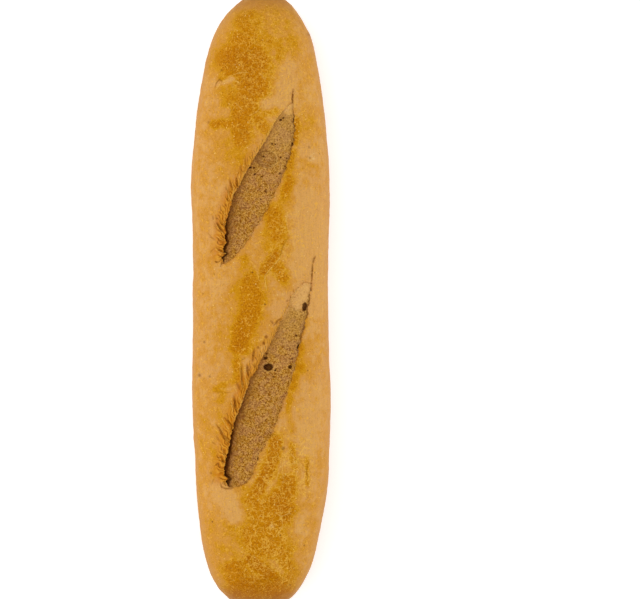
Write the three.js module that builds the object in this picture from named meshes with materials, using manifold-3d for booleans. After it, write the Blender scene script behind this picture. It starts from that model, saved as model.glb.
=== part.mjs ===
// A short baguette, proofed and baked on a flat tray and scored twice before it went into the oven.
//
// Millimetres, +Z up. The loaf lies along Y with its slimmer end at +Y. Its flat sole is on z = 0,
// and the origin is the middle of the loaf, on the sole. It is one piece of bread, so it is one solid:
// the body, less the two opened scores and the large pores in them, plus the lifted flap of crust
// that overhangs each score on its left.

import * as THREE from 'three';
import { mergeVertices } from 'three/addons/utils/BufferGeometryUtils.js';
import Module from 'manifold-3d';

// ---------------------------------------------------------------------------------------------
// Driving dimensions

const LENGTH = 270; // tip to tip
const WIDTH = 61; // across the fullest section
const HEIGHT = 44.5; // sole to crown
const WAIST = 18.5; // height of the widest line in a full section
const NOSE = 16; // height of the two tips
const CROWN_FULLNESS = 2.15; // superellipse power of a section above its widest line
const BELLY_FULLNESS = 2.4; // and below it
const SOLE_SINK = 3.5; // how much of the round underside the tray pressed flat
const BELLY_REACH = 1.4; // the underside is already full where a section is 1 / 1.4 of its width
const CROWN_TAPER = 1.1; // how soon the crown drops as the loaf narrows to its ends

// The loaf from above: share of the half length, share of the half width, drift to the right in mm.
const PLAN = [
  [-1, 0, -0.8],
  [-0.961, 0.472, -0.7],
  [-0.903, 0.665, -0.9],
  [-0.838, 0.779, -0.5],
  [-0.741, 0.867, -0.3],
  [-0.612, 0.942, 0.5],
  [-0.45, 0.979, 0.4],
  [-0.305, 1, 0.2],
  [-0.127, 0.98, 0],
  [0.034, 0.973, -0.2],
  [0.196, 0.98, 0],
  [0.373, 1, -0.2],
  [0.519, 0.958, -0.2],
  [0.712, 0.851, 0],
  [0.841, 0.722, 0.4],
  [0.919, 0.543, 0.6],
  [0.958, 0.393, 1.2],
  [1, 0, 1.5],
];

// Slow unevenness of the crown: height, wave numbers along X and Y in 1 / mm, and phase.
const SWELLS = [
  [0.45, 0.047, 0.058, 1.3],
  [0.35, -0.077, 0.103, 0.4],
  [0.22, 0.164, 0.044, 2.1],
];

const STATIONS = 58; // sections along the loaf
const AROUND = 40; // points round a section
const END_CROWDING = 0.6; // 0 spaces the sections evenly, 1 crowds them most at the tips

// Each score, from its foot to its head: y, x of the lip, x of the far border, depth at the lip.
// Its flap of crust, in the same order: y, direction of the pleats in degrees above the left,
// their length and the lift of the lip.
const SCORES = [
  {
    rows: [
      [15.0, -17.2, -16.4, 1.6],
      [16.8, -16.9, -13.8, 2.6],
      [19.4, -15.9, -10.7, 3.6],
      [26.4, -15.0, -4.9, 4.6],
      [35.1, -14.0, 0.6, 4.5],
      [43.8, -11.1, 4.9, 3.4],
      [52.5, -6.8, 9.2, 2.4],
      [61.3, -2.0, 12.5, 1.8],
      [70.0, 3.1, 14.4, 1.3],
      [78.7, 7.9, 14.4, 1.0],
      [83.1, 11.6, 14.2, 0.9],
      [84.8, 13.5, 14.2, 0.9],
      [89.6, 13.9, 14.2, 0.6],
    ],
    flap: [
      [16.6, -10, 4.0, 0.6],
      [19.4, 5, 5.5, 1.0],
      [26.4, 35, 8.0, 1.5],
      [35.1, 55, 9.0, 1.6],
      [43.8, 72, 8.0, 1.3],
      [52.5, 84, 6.0, 0.9],
      [62.0, 92, 4.0, 0.4],
    ],
  },
  {
    rows: [
      [-80.4, -12.9, -11.0, 1.6],
      [-78.7, -14.4, -5.9, 3.4],
      [-74.3, -15.4, -3.5, 5.2],
      [-64.7, -13.3, 0.6, 5.2],
      [-53.8, -10.9, 6.5, 4.4],
      [-43.4, -6.5, 10.0, 3.6],
      [-35.1, -4.0, 13.1, 3.2],
      [-24.6, 1.2, 15.9, 2.6],
      [-14.8, 6.7, 18.0, 1.9],
      [-7.6, 10.2, 19.8, 1.5],
      [-2.4, 12.9, 20.8, 1.2],
      [1.2, 13.0, 21.4, 1.0],
      [5.2, 16.4, 22.1, 0.9],
      [7.4, 21.4, 22.4, 0.9],
      [15.9, 22.9, 23.3, 0.8],
      [19.0, 24.4, 24.7, 0.6],
    ],
    flap: [
      [-78.8, -10, 4.0, 0.6],
      [-76.0, 8, 5.0, 1.0],
      [-68.0, 35, 6.5, 1.5],
      [-59.0, 50, 9.0, 1.7],
      [-50.0, 58, 9.0, 1.6],
      [-41.0, 76, 8.0, 1.5],
      [-33.0, 84, 8.0, 1.4],
      [-24.0, 88, 7.0, 1.0],
      [-17.0, 92, 4.0, 0.4],
    ],
  },
];

const SCORE_SPACING = 1.8; // between sections of a score
const FLOOR_STEPS = 6; // facets across the floor of a score
const FLOOR_CURVE = 1.9; // the floor stays high, then falls towards the lip
const BORDER_STEP = 0.4; // drop from the skin to the torn floor at the far border
const CRUMB_RELIEF = 0.25; // unevenness of the torn floor
const CRUMB_WAVES = [
  [1.9, 0.7],
  [-0.8, 1.3],
]; // its two crossing waves, as wave numbers along X and Y in 1 / mm
const OVERHANG = 1.1; // how far the flap reaches out over the wall of the score
const OVERHANG_FADE = 3; // over this length beyond each end of the flap the wall comes back to the lip
const CRACK_WIDTH = 0.3; // the thin crack that runs on past the head of a score
const CUT_TOP = HEIGHT + 10; // a cut reaches clear of the crown

const FLAP_THICKNESS = 1.1;
const FLAP_SINK = 0.6; // how deep the root and both ends of the flap run into the loaf
const FLAP_SAMPLES = 33; // points that carry the lip's line
const PLEAT_PITCH = 2.6; // from fold to fold along the lip
const PLEAT_HEIGHT = 0.5;
const PLEAT_SCALLOP = 0.45; // how far the folds push the lip in and out
const PLEAT_SAMPLES = 4; // sections to each fold
const PLEAT_EVENNESS = 0.65; // height of the smallest folds as a share of the largest
// Top of the flap from its edge to its root: share of its length, share of its lift.
const FLAP_PROFILE = [
  [0, 0.7],
  [0.12, 1],
  [0.32, 0.72],
  [0.62, 0.3],
  [1, 0],
];

// Large pores in the torn floor of the lower score: x, y, half width, half length, half depth, turn.
const PORES = [
  [19.1, -2.8, 0.9, 2.0, 2.6, -8],
  [3.5, -28.8, 2.1, 1.4, 3.4, 0],
];
const PORE_SINK = 1.2; // from the crust down to the middle of a pore
const PORE_SIDES = 12;
const PORE_RINGS = 8;

// A small crescent fold where the lower score ends: the middle line of the ridge, and its size.
const CRESCENT = [
  [-17.0, -81.8],
  [-15.8, -82.9],
  [-14.2, -83.4],
  [-12.2, -83.0],
];
const CRESCENT_HALF_WIDTH = 0.8;
const CRESCENT_HEIGHT = 0.7;
const CRESCENT_STEPS = 10;
const CRESCENT_SIDES = 6;

// ---------------------------------------------------------------------------------------------
// Shapes worked out from the dimensions

/** A smooth function through rows of numbers, the first of each row being where it holds. */
function curveThrough(rows) {
  const places = rows.map((row) => row[0]);
  const values = rows.flatMap((row) => row.slice(1));
  const curve = new THREE.CubicInterpolant(places, values, rows[0].length - 1);
  return (place) => Array.from(curve.evaluate(place));
}

// The half width is worked out from its square, which runs straight into a round tip.
const planAt = curveThrough(PLAN.map(([place, width, drift]) => [place, width * width, drift]));

/** Fullness (0 to 1), half width, drift and height of the widest line of the section at y. */
function sectionAt(y) {
  const [square, drift] = planAt((2 * y) / LENGTH);
  const fullness = Math.sqrt(Math.max(square, 0));
  return {
    fullness,
    half: (fullness * WIDTH) / 2,
    drift,
    waist: NOSE + (WAIST - NOSE) * fullness,
  };
}

/** Height of the smooth top crust over (x, y). */
function crust(x, y) {
  const { fullness, half, drift, waist } = sectionAt(y);
  const across = Math.min(Math.abs(x - drift) / half, 1);
  const arch = (1 - across ** CROWN_FULLNESS) ** (1 / CROWN_FULLNESS);
  const swell = SWELLS.reduce(
    (sum, [height, alongX, alongY, phase]) => sum + height * Math.sin(alongX * x + alongY * y + phase),
    0,
  );
  return waist + (HEIGHT - WAIST) * fullness ** CROWN_TAPER * arch + swell * fullness * arch;
}

/** A closed surface through rings of equal length, each end closed by a fan to a point. */
function loft(rings, startPoint, endPoint) {
  const count = rings[0].length;
  const points = [...rings.flat(), startPoint, endPoint];
  const start = points.length - 2;
  const end = points.length - 1;
  const last = (rings.length - 1) * count;
  const index = [];
  for (let j = 0; j < count; j += 1) {
    const next = (j + 1) % count;
    index.push(start, j, next);
    for (let i = 0; i < last; i += count) {
      index.push(i + j, i + count + j, i + count + next);
      index.push(i + j, i + count + next, i + next);
    }
    index.push(end, last + next, last + j);
  }
  const geometry = new THREE.BufferGeometry().setFromPoints(points);
  geometry.setIndex(index);
  return geometry;
}

/** The middle of a ring of points. */
function middle(ring) {
  const sum = ring.reduce((total, point) => total.add(point), new THREE.Vector3());
  return sum.divideScalar(ring.length);
}

/** One point of a superellipse, from the cosine or sine of its angle. */
function rounded(value, power) {
  return Math.sign(value) * Math.abs(value) ** (2 / power);
}

/** A section of the loaf at y: crown above the widest line, belly and flat sole below it. */
function bodyRing(y) {
  const { fullness, half, drift, waist } = sectionAt(y);
  const belly = (waist + SOLE_SINK) * Math.min(1, BELLY_REACH * fullness);
  const ring = [];
  for (let i = 0; i < AROUND; i += 1) {
    const turn = (2 * Math.PI * i) / AROUND;
    const above = Math.sin(turn) > 0;
    const power = above ? CROWN_FULLNESS : BELLY_FULLNESS;
    const x = drift + half * rounded(Math.cos(turn), power);
    const z = above ? crust(x, y) : Math.max(0, waist + belly * rounded(Math.sin(turn), power));
    ring.push(new THREE.Vector3(x, y, z));
  }
  return ring;
}

/** The whole loaf before it is scored. */
function bodyGeometry() {
  const rings = [];
  for (let i = 1; i < STATIONS; i += 1) {
    const even = (2 * i) / STATIONS - 1;
    const crowded = Math.sin((Math.PI / 2) * even);
    rings.push(bodyRing((LENGTH / 2) * THREE.MathUtils.lerp(even, crowded, END_CROWDING)));
  }
  const tip = (side) => new THREE.Vector3(planAt(side)[1], (side * LENGTH) / 2, NOSE);
  return loft(rings, tip(-1), tip(1));
}

/** The first and last place of a list of rows. */
function ends(rows) {
  return [rows[0][0], rows[rows.length - 1][0]];
}

/** How far the flap of crust covers the wall of a score at y: 0 beyond its ends, 1 along it. */
function cover(score, y) {
  const [foot, head] = ends(score.flap);
  const risen = THREE.MathUtils.smoothstep(y, foot - OVERHANG_FADE, foot);
  const fallen = THREE.MathUtils.smoothstep(y, head - OVERHANG_FADE, head);
  return risen * (1 - fallen);
}

/** Unevenness of the torn crumb at (x, y), fading out at the lip and at the border. */
function crumb(x, y, across) {
  const [first, second] = CRUMB_WAVES.map(([alongX, alongY]) => Math.sin(alongX * x + alongY * y));
  return CRUMB_RELIEF * first * second * 4 * across * (1 - across);
}

/** What one score removes: all above its torn floor, from the wall under the lip to the far border. */
function cutGeometry(score) {
  const at = curveThrough(score.rows);
  const [foot, head] = ends(score.rows);
  const steps = Math.round((head - foot) / SCORE_SPACING);
  const rings = [];
  for (let i = 0; i <= steps; i += 1) {
    const y = THREE.MathUtils.lerp(foot, head, i / steps);
    const [lip, border, depth] = at(y);
    const wall = Math.min(lip, border - CRACK_WIDTH) - OVERHANG * cover(score, y);
    const ring = [];
    for (let j = 0; j <= FLOOR_STEPS; j += 1) {
      const across = 1 - j / FLOOR_STEPS;
      const x = THREE.MathUtils.lerp(border, wall, across);
      const fall = BORDER_STEP + (depth - BORDER_STEP) * across ** FLOOR_CURVE;
      ring.push(new THREE.Vector3(x, y, crust(x, y) - fall + crumb(x, y, across)));
    }
    ring.push(new THREE.Vector3(border, y, CUT_TOP));
    ring.push(new THREE.Vector3(wall, y, CUT_TOP));
    rings.push(ring);
  }
  return loft(rings, middle(rings[0]), middle(rings[steps]));
}

/** The flap of crust along one score, gathered into pleats that fan out from its lip. */
function flapGeometry(score) {
  const lipAt = curveThrough(score.rows);
  const flapAt = curveThrough(score.flap);
  const [foot, head] = ends(score.flap);
  const lip = Array.from({ length: FLAP_SAMPLES }, (_, i) => {
    const y = THREE.MathUtils.lerp(foot, head, i / (FLAP_SAMPLES - 1));
    return new THREE.Vector2(lipAt(y)[0], y);
  });
  const line = new THREE.SplineCurve(lip);
  const steps = PLEAT_SAMPLES * Math.round(line.getLength() / PLEAT_PITCH);
  const rings = [];
  for (let i = 0; i <= steps; i += 1) {
    const edge = line.getPointAt(i / steps);
    const [degrees, reach, lift] = flapAt(edge.y);
    const buried = i === 0 || i === steps;
    const turn = THREE.MathUtils.degToRad(degrees);
    const size = THREE.MathUtils.lerp(PLEAT_EVENNESS, 1, 0.5 + 0.5 * Math.sin(0.55 * i));
    const fold = Math.min(1, lift) * size * Math.cos((2 * Math.PI * i) / PLEAT_SAMPLES);
    const point = (share, height) => {
      const along = share * reach - PLEAT_SCALLOP * fold * (1 - share);
      const x = edge.x - Math.cos(turn) * along;
      const y = edge.y + Math.sin(turn) * along;
      return new THREE.Vector3(x, y, crust(x, y) + height);
    };
    const top = FLAP_PROFILE.map(([share, height]) => {
      const raised = lift * height + PLEAT_HEIGHT * fold * (1 - share) - FLAP_SINK * share ** 4;
      return point(share, buried ? -FLAP_SINK : raised);
    });
    const root = point(1, -FLAP_THICKNESS);
    const under = point(0.5, -FLAP_THICKNESS);
    const edgeBelow = point(0, 0.4 * lift - FLAP_THICKNESS);
    rings.push([...top, root, under, edgeBelow]);
  }
  return loft(rings, middle(rings[0]), middle(rings[steps]));
}

/** The crescent fold below the lower score. */
function crescentGeometry() {
  const line = new THREE.SplineCurve(CRESCENT.map(([x, y]) => new THREE.Vector2(x, y)));
  const rings = [];
  for (let i = 0; i <= CRESCENT_STEPS; i += 1) {
    const share = i / CRESCENT_STEPS;
    const place = line.getPointAt(share);
    const along = line.getTangentAt(share);
    const swell = Math.sqrt(Math.max(Math.sin(Math.PI * share), 0.05));
    const ring = [];
    for (let j = 0; j < CRESCENT_SIDES; j += 1) {
      const turn = (2 * Math.PI * j) / CRESCENT_SIDES;
      const across = CRESCENT_HALF_WIDTH * swell * Math.cos(turn);
      const x = place.x + along.y * across;
      const y = place.y - along.x * across;
      const z = crust(x, y) + 2 * CRESCENT_HEIGHT * swell * Math.sin(turn) - CRESCENT_HEIGHT;
      ring.push(new THREE.Vector3(x, y, z));
    }
    rings.push(ring);
  }
  return loft(rings, middle(rings[0]), middle(rings[CRESCENT_STEPS]));
}

/** One large pore, a rounded pit. */
function poreGeometry([x, y, halfWidth, halfLength, halfDepth, degrees]) {
  const geometry = new THREE.SphereGeometry(1, PORE_SIDES, PORE_RINGS);
  geometry.deleteAttribute('normal');
  geometry.deleteAttribute('uv');
  geometry.scale(halfWidth, halfLength, halfDepth);
  geometry.rotateZ(THREE.MathUtils.degToRad(degrees));
  geometry.translate(x, y, crust(x, y) - PORE_SINK);
  return mergeVertices(geometry);
}

// ---------------------------------------------------------------------------------------------
// Cutting and joining

const wasm = await Module();
wasm.setup();

/** A solid from a closed geometry with shared vertices. */
function solid(geometry) {
  return new wasm.Manifold(
    new wasm.Mesh({
      numProp: 3,
      vertProperties: new Float32Array(geometry.attributes.position.array),
      triVerts: new Uint32Array(geometry.index.array),
    }),
  );
}

/** The geometry of a solid, with faceted normals. */
function geometryOf(shape) {
  const { vertProperties, triVerts } = shape.getMesh();
  const geometry = new THREE.BufferGeometry();
  geometry.setAttribute('position', new THREE.BufferAttribute(vertProperties, 3));
  geometry.setIndex(new THREE.BufferAttribute(triVerts, 1));
  geometry.computeVertexNormals();
  return geometry;
}

let bread = solid(bodyGeometry());
for (const score of SCORES) {
  bread = bread.subtract(solid(cutGeometry(score))).add(solid(flapGeometry(score)));
}
for (const pore of PORES) {
  bread = bread.subtract(solid(poreGeometry(pore)));
}
bread = bread.add(solid(crescentGeometry()));

const bakedCrust = new THREE.MeshStandardMaterial({
  color: new THREE.Color().setStyle('#c88a33'),
  roughness: 0.62,
  metalness: 0,
});

const loaf = new THREE.Mesh(geometryOf(bread), bakedCrust);
loaf.name = 'loaf';

const baguette = new THREE.Group();
baguette.name = 'baguette';
baguette.add(loaf);

export default baguette;
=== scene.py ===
# A short baguette with two opened scores, lying on a pale table.
# Sizes are in millimetres, and MM turns them into Blender's metres.

import math

import bpy
import numpy as np
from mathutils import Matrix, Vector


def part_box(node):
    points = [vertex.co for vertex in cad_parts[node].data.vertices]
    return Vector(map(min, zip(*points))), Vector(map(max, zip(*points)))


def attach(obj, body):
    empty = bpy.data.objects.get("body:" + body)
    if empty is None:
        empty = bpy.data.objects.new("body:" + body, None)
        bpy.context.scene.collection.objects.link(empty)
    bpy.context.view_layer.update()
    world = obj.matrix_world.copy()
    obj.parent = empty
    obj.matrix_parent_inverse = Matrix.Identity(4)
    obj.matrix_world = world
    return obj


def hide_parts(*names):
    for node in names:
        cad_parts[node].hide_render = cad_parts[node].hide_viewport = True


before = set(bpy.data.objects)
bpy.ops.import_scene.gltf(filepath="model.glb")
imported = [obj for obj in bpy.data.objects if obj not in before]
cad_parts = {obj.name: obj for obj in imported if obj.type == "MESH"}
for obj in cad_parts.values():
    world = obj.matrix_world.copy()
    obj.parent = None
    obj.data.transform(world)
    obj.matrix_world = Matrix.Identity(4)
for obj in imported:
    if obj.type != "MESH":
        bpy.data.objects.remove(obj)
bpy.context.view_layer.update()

# --- The dough --------------------------------------------------------------------------------
# The real loaf is one piece of lean wheat dough, rolled out into a short stick with blunt ends.
# It proofs and bakes lying on a flat tray, which leaves its underside a flat sole.

MM = 0.001
loaf_low, loaf_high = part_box("loaf")
LENGTH = (loaf_high[1] - loaf_low[1]) / MM
WIDTH = 61.3
HEIGHT = 44.5
WAIST = 18.5
NOSE = 16
CROWN_FULLNESS = 2.15
BELLY_FULLNESS = 2.4
SOLE_SINK = 3.5
BELLY_REACH = 1.4
CROWN_TAPER = 1.1

# The loaf from above: share of the half length, share of the half width, drift to the right.
PLAN = [
    (-1, 0, -0.8),
    (-0.961, 0.472, -0.7),
    (-0.903, 0.665, -0.9),
    (-0.838, 0.779, -0.5),
    (-0.741, 0.867, -0.3),
    (-0.612, 0.942, 0.5),
    (-0.45, 0.979, 0.4),
    (-0.305, 1, 0.2),
    (-0.127, 0.98, 0),
    (0.034, 0.973, -0.2),
    (0.196, 0.98, 0),
    (0.373, 1, -0.2),
    (0.519, 0.958, -0.2),
    (0.712, 0.851, 0),
    (0.841, 0.722, 0.4),
    (0.919, 0.543, 0.6),
    (0.958, 0.393, 1.2),
    (1, 0, 1.5),
]

# Slow unevenness of the crown. Waves have a height, wave numbers along X and Y, and a phase.
SWELLS = [(0.45, 0.047, 0.058, 1.3), (0.35, -0.077, 0.103, 0.4), (0.22, 0.164, 0.044, 2.1)]

DOUGH_SIDES = 32
DOUGH_STATIONS = 78
DOUGH_SMOOTHING = 2
CROWN_CROWDING = 0.38


def curve_through(rows):
    """A smooth function through rows of numbers, the first of each row being where it holds."""
    table = np.array(rows, float)
    places, values = table[:, 0], table[:, 1:]
    secants = np.diff(values, axis=0) / np.diff(places)[:, None]
    slopes = np.vstack([secants[:1], (secants[:-1] + secants[1:]) / 2, secants[-1:]])

    def at(place):
        place = np.clip(np.asarray(place, float), places[0], places[-1])
        first = np.clip(np.searchsorted(places, place, "right") - 1, 0, len(places) - 2)
        span = (places[first + 1] - places[first])[..., None]
        share = (place - places[first])[..., None] / span
        rise = values[first + 1] - values[first]
        start, end = slopes[first] * span, slopes[first + 1] * span
        bend = values[first] + share * start + share**2 * (3 * rise - 2 * start - end)
        return np.moveaxis(bend + share**3 * (start + end - 2 * rise), -1, 0)

    return at


plan_at = curve_through([(place, width * width, drift) for place, width, drift in PLAN])


def section_at(y):
    """Fullness, half width, drift and height of the widest line of the section at y."""
    square, drift = plan_at(2 * np.asarray(y) / LENGTH)
    fullness = np.sqrt(np.maximum(square, 0))
    return fullness, fullness * WIDTH / 2, drift, NOSE + (WAIST - NOSE) * fullness


def waves_at(waves, x, y):
    """The height of some waves, added up."""
    return sum(height * np.sin(kx * x + ky * y + phase) for height, kx, ky, phase in waves)


def crust_height(x, y):
    """Height of the smooth top crust over (x, y)."""
    fullness, half, drift, waist = section_at(y)
    across = np.minimum(np.abs(x - drift) / np.maximum(half, 1e-6), 1)
    arch = (1 - across**CROWN_FULLNESS) ** (1 / CROWN_FULLNESS)
    swell = waves_at(SWELLS, x, y)
    return waist + (HEIGHT - WAIST) * fullness**CROWN_TAPER * arch + swell * fullness * arch


def loaf_spots(y, turn):
    """Points of the plain loaf at y, turned from the crown to the right by turn radians."""
    fullness, half, drift, waist = section_at(y)
    upper = np.abs(turn) < math.pi / 2
    power = np.where(upper, CROWN_FULLNESS, BELLY_FULLNESS)
    side, up = np.sin(turn), np.cos(turn)
    x = drift + half * np.sign(side) * np.abs(side) ** (2 / power)
    belly = (waist + SOLE_SINK) * np.minimum(1, BELLY_REACH * fullness)
    under = np.maximum(0, waist - belly * np.abs(up) ** (2 / power))
    return np.column_stack([x, y, np.where(upper, crust_height(x, y), under)])


def spots_of(mesh):
    """Where the points of a mesh are, in millimetres."""
    flat = np.empty(3 * len(mesh.vertices), np.float32)
    mesh.vertices.foreach_get("co", flat)
    return flat.reshape(-1, 3).astype(float) / MM


def put_spots(mesh, spots):
    """Move the points of a mesh to these places, in millimetres."""
    mesh.vertices.foreach_set("co", (spots * MM).astype(np.float32).ravel())
    mesh.update()


# Stations stand evenly along the outline, so that they crowd together round both blunt tips.
outline = LENGTH / 2 * np.sin(np.linspace(-math.pi / 2, math.pi / 2, 4001))
strides = np.hypot(np.diff(outline), np.diff(section_at(outline)[1]))
outline_walk = np.concatenate([[0], np.cumsum(strides)])
station_walk = np.linspace(0, outline_walk[-1], DOUGH_STATIONS + 1)
stations = np.interp(station_walk, outline_walk, outline)
girths = section_at(stations)[1]

# A disc of dough is drawn out from station to station, and its two flat ends to the tips.
bpy.ops.object.select_all(action="DESELECT")
bpy.ops.mesh.primitive_circle_add(
    vertices=DOUGH_SIDES,
    radius=girths[1] * MM,
    fill_type="TRIFAN",
    location=(0, stations[1] * MM, WAIST * MM),
    rotation=(math.pi / 2, 0, 0),
)
loaf = bpy.context.object
loaf.name = "baguette_crust"
dough = loaf.data
bpy.ops.object.transform_apply(location=True, rotation=True, scale=True)
bpy.context.tool_settings.mesh_select_mode = (False, False, True)
bpy.ops.object.mode_set(mode="EDIT")
bpy.ops.mesh.select_all(action="SELECT")
for index in range(2, DOUGH_STATIONS):
    drawn = (0, (stations[index] - stations[index - 1]) * MM, 0)
    bpy.ops.mesh.extrude_region_move(TRANSFORM_OT_translate={"value": drawn})
    grown = girths[index] / girths[index - 1]
    hub = (0, stations[index] * MM, WAIST * MM)
    bpy.ops.transform.resize(value=(grown, 1, grown), center_override=hub)
bpy.ops.mesh.select_all(action="SELECT")
bpy.ops.mesh.normals_make_consistent(inside=False)
bpy.ops.object.mode_set(mode="OBJECT")
for point in dough.vertices:
    if math.hypot(point.co.x, point.co.z - WAIST * MM) < 1e-6:
        point.co.y = math.copysign(LENGTH / 2 * MM, point.co.y)

proof = loaf.modifiers.new("proof", "SUBSURF")
proof.levels = proof.render_levels = DOUGH_SMOOTHING
bpy.ops.object.modifier_apply(modifier="proof")

# The round stick takes the sections of the real loaf, its points closer together on the crown.
spots = spots_of(dough)
walk = np.interp(spots[:, 1] * LENGTH / 2 / np.abs(spots[:, 1]).max(), stations, station_walk)
turn = np.arctan2(spots[:, 0], spots[:, 2] - WAIST)
turn -= CROWN_CROWDING * np.sin(turn)
put_spots(dough, loaf_spots(np.interp(walk, outline_walk, outline), turn))

# --- The scores -------------------------------------------------------------------------------
# Before baking the dough is slashed twice with a blade held flat. In the oven each slash opens:
# its right side tears down to open crumb, and its left side lifts as a thin flap of crust.

# Along each score: y, x of the lip, x of the far border, depth of the tear under the lip.
UPPER_SCORE = [
    (16.0, -15.9, -15.0, 1.0),
    (17.4, -16.1, -13.2, 1.6),
    (18.7, -16.3, -11.4, 2.2),
    (20.1, -14.6, -10.2, 3.0),
    (21.1, -15.7, -9.4, 3.4),
    (22.1, -15.9, -8.5, 3.8),
    (24.3, -14.7, -6.5, 4.3),
    (25.9, -14.6, -5.3, 4.6),
    (27.6, -15.3, -4.3, 4.7),
    (29.0, -14.3, -3.6, 4.8),
    (30.6, -14.9, -2.7, 4.8),
    (34.8, -14.3, 0.4, 4.7),
    (38.5, -13.0, 2.5, 3.6),
    (43.0, -11.8, 4.6, 2.8),
    (46.5, -10.5, 6.3, 2.3),
    (49.5, -8.5, 7.9, 1.9),
    (54.2, -6.3, 9.8, 1.5),
    (57.9, -4.1, 11.3, 1.3),
    (62.1, -1.7, 12.8, 1.1),
    (67.7, 2.0, 14.1, 0.9),
    (73.2, 4.9, 14.8, 0.7),
    (77.7, 7.3, 14.7, 0.5),
    (83.1, 11.6, 14.3, 0.3),
    (84.8, 13.5, 14.2, 0.2),
]
LOWER_SCORE = [
    (-80.4, -13.2, -11.0, 1.2),
    (-79.5, -14.0, -8.6, 2.6),
    (-77.9, -14.5, -5.4, 4.2),
    (-77.1, -13.5, -4.8, 4.6),
    (-75.8, -15.0, -4.1, 5.2),
    (-73.1, -15.4, -3.0, 5.6),
    (-70.4, -14.9, -2.0, 5.7),
    (-68.5, -14.7, -1.2, 5.7),
    (-65.5, -13.7, 0.2, 5.6),
    (-62.3, -13.2, 2.0, 5.4),
    (-59.3, -12.5, 3.8, 5.1),
    (-56.1, -11.8, 5.6, 4.8),
    (-52.5, -10.9, 7.0, 4.2),
    (-49.0, -9.5, 8.2, 3.6),
    (-43.6, -7.2, 10.0, 3.0),
    (-40.9, -6.6, 11.0, 2.7),
    (-37.5, -5.0, 12.3, 2.4),
    (-33.7, -4.0, 13.5, 2.1),
    (-30.2, -1.2, 14.6, 1.8),
    (-26.9, 0.0, 15.4, 1.5),
    (-21.0, 3.4, 16.6, 1.2),
    (-14.8, 6.7, 18.1, 0.75),
    (-7.6, 9.8, 19.9, 0.4),
    (-2.4, 12.4, 20.9, 0.2),
    (1.2, 13.4, 21.4, 0.1),
    (5.2, 16.4, 22.0, 0.07),
    (7.4, 19.2, 22.3, 0.05),
]
# Along each flap: y, its reach to the left, the lift of its lip, the width of the gap under it,
# and the share of the tear that falls into that gap.
UPPER_FLAP = [
    (15.0, 2.5, 0.0, 0.8, 0.1),
    (18.0, 4.5, 0.7, 1.1, 0.35),
    (22.0, 6.5, 1.1, 1.3, 0.5),
    (28.0, 8.5, 1.5, 1.1, 0.45),
    (33.0, 9.0, 1.5, 0.8, 0.3),
    (37.0, 9.0, 1.4, 1.0, 0.15),
    (45.0, 8.0, 1.1, 0.9, 0.0),
    (54.0, 6.5, 0.6, 0.8, 0.0),
    (64.0, 4.5, 0.2, 0.8, 0.0),
    (74.0, 3.0, 0.05, 0.8, 0.0),
    (84.0, 2.0, 0.0, 0.8, 0.0),
]
LOWER_FLAP = [
    (-82.0, 2.5, 0.0, 0.9, 0.3),
    (-79.0, 4.0, 0.6, 1.6, 0.5),
    (-74.0, 6.0, 1.2, 2.6, 0.55),
    (-66.0, 8.0, 1.6, 1.9, 0.5),
    (-57.0, 9.0, 1.6, 1.0, 0.35),
    (-47.0, 9.0, 1.4, 0.8, 0.2),
    (-38.0, 8.5, 1.1, 0.9, 0.1),
    (-30.0, 8.0, 0.8, 0.8, 0.0),
    (-22.0, 6.5, 0.4, 0.8, 0.0),
    (-12.0, 4.0, 0.1, 0.8, 0.0),
    (2.0, 2.0, 0.0, 0.8, 0.0),
]
SCORES = [(UPPER_SCORE, UPPER_FLAP), (LOWER_SCORE, LOWER_FLAP)]
# The lift of a flap from its lip to where it lies down again. The lip itself droops a little.
LIP_LIFT = 0.75
FLAP_PROFILE = curve_through([(0, LIP_LIFT), (0.12, 1), (0.32, 0.74), (0.62, 0.28), (1, 0)])
# Lips are finely nibbled, and borders are torn more raggedly. Both run smooth at their ends.
NIBBLES = [(0.1, 0, 2.3, 1), (0.05, 0, 5.1, 0)]
RAGS = [(0.25, 0, 1.1, 2), (0.12, 0, 3.1, 0.5)]
RAGGED_FROM = 4

CROWN_FROM = 22
SKIN_FROM = 16
TEAR_MARGIN = 4
HEAD_MARGIN = 7
LIP_MARGIN = 1.2
GAP_MARGIN = 2.2
BORDER_MARGIN = 0.7
SNAP_REACH = 0.3
NARROWEST_TEAR = 0.6
CRUST_THICKNESS = 0.8
BORDER_STEP = 0.06
FLOOR_CURVE = 1.3
END_REACH = 0.5
FOOT_EASE = 1.5
BORDER_EASE = 6
HEAD_EASE = 3
OVERHANG = 1.2
OVERHANG_REACH = 3.5
UNDERCUT = 0.15


def smooth(value, low, high):
    """0 below low, 1 above high, and an even S between them."""
    share = np.clip((value - low) / (high - low), 0, 1)
    return share * share * (3 - 2 * share)


def hump(value, middle, width):
    """1 at the middle, falling to almost nothing two widths to either side."""
    return np.exp(-(((value - middle) / width) ** 2))


def score_at(rows):
    """The ragged lip, the ragged border and the depth of a score, as a function of y."""
    plain = curve_through(rows)

    def at(y):
        lip, border, depth = plain(y)
        ends = smooth(y - rows[0][0], 0, RAGGED_FROM) * smooth(rows[-1][0] - y, 0, RAGGED_FROM)
        return lip + waves_at(NIBBLES, 0, y) * ends, border + waves_at(RAGS, 0, y) * ends, depth

    return at


def centres_of(mesh):
    """Where the middles of the faces of a mesh are, in millimetres."""
    flat = np.empty(3 * len(mesh.polygons), np.float32)
    mesh.polygons.foreach_get("center", flat)
    return flat.reshape(-1, 3).astype(float) / MM


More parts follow.
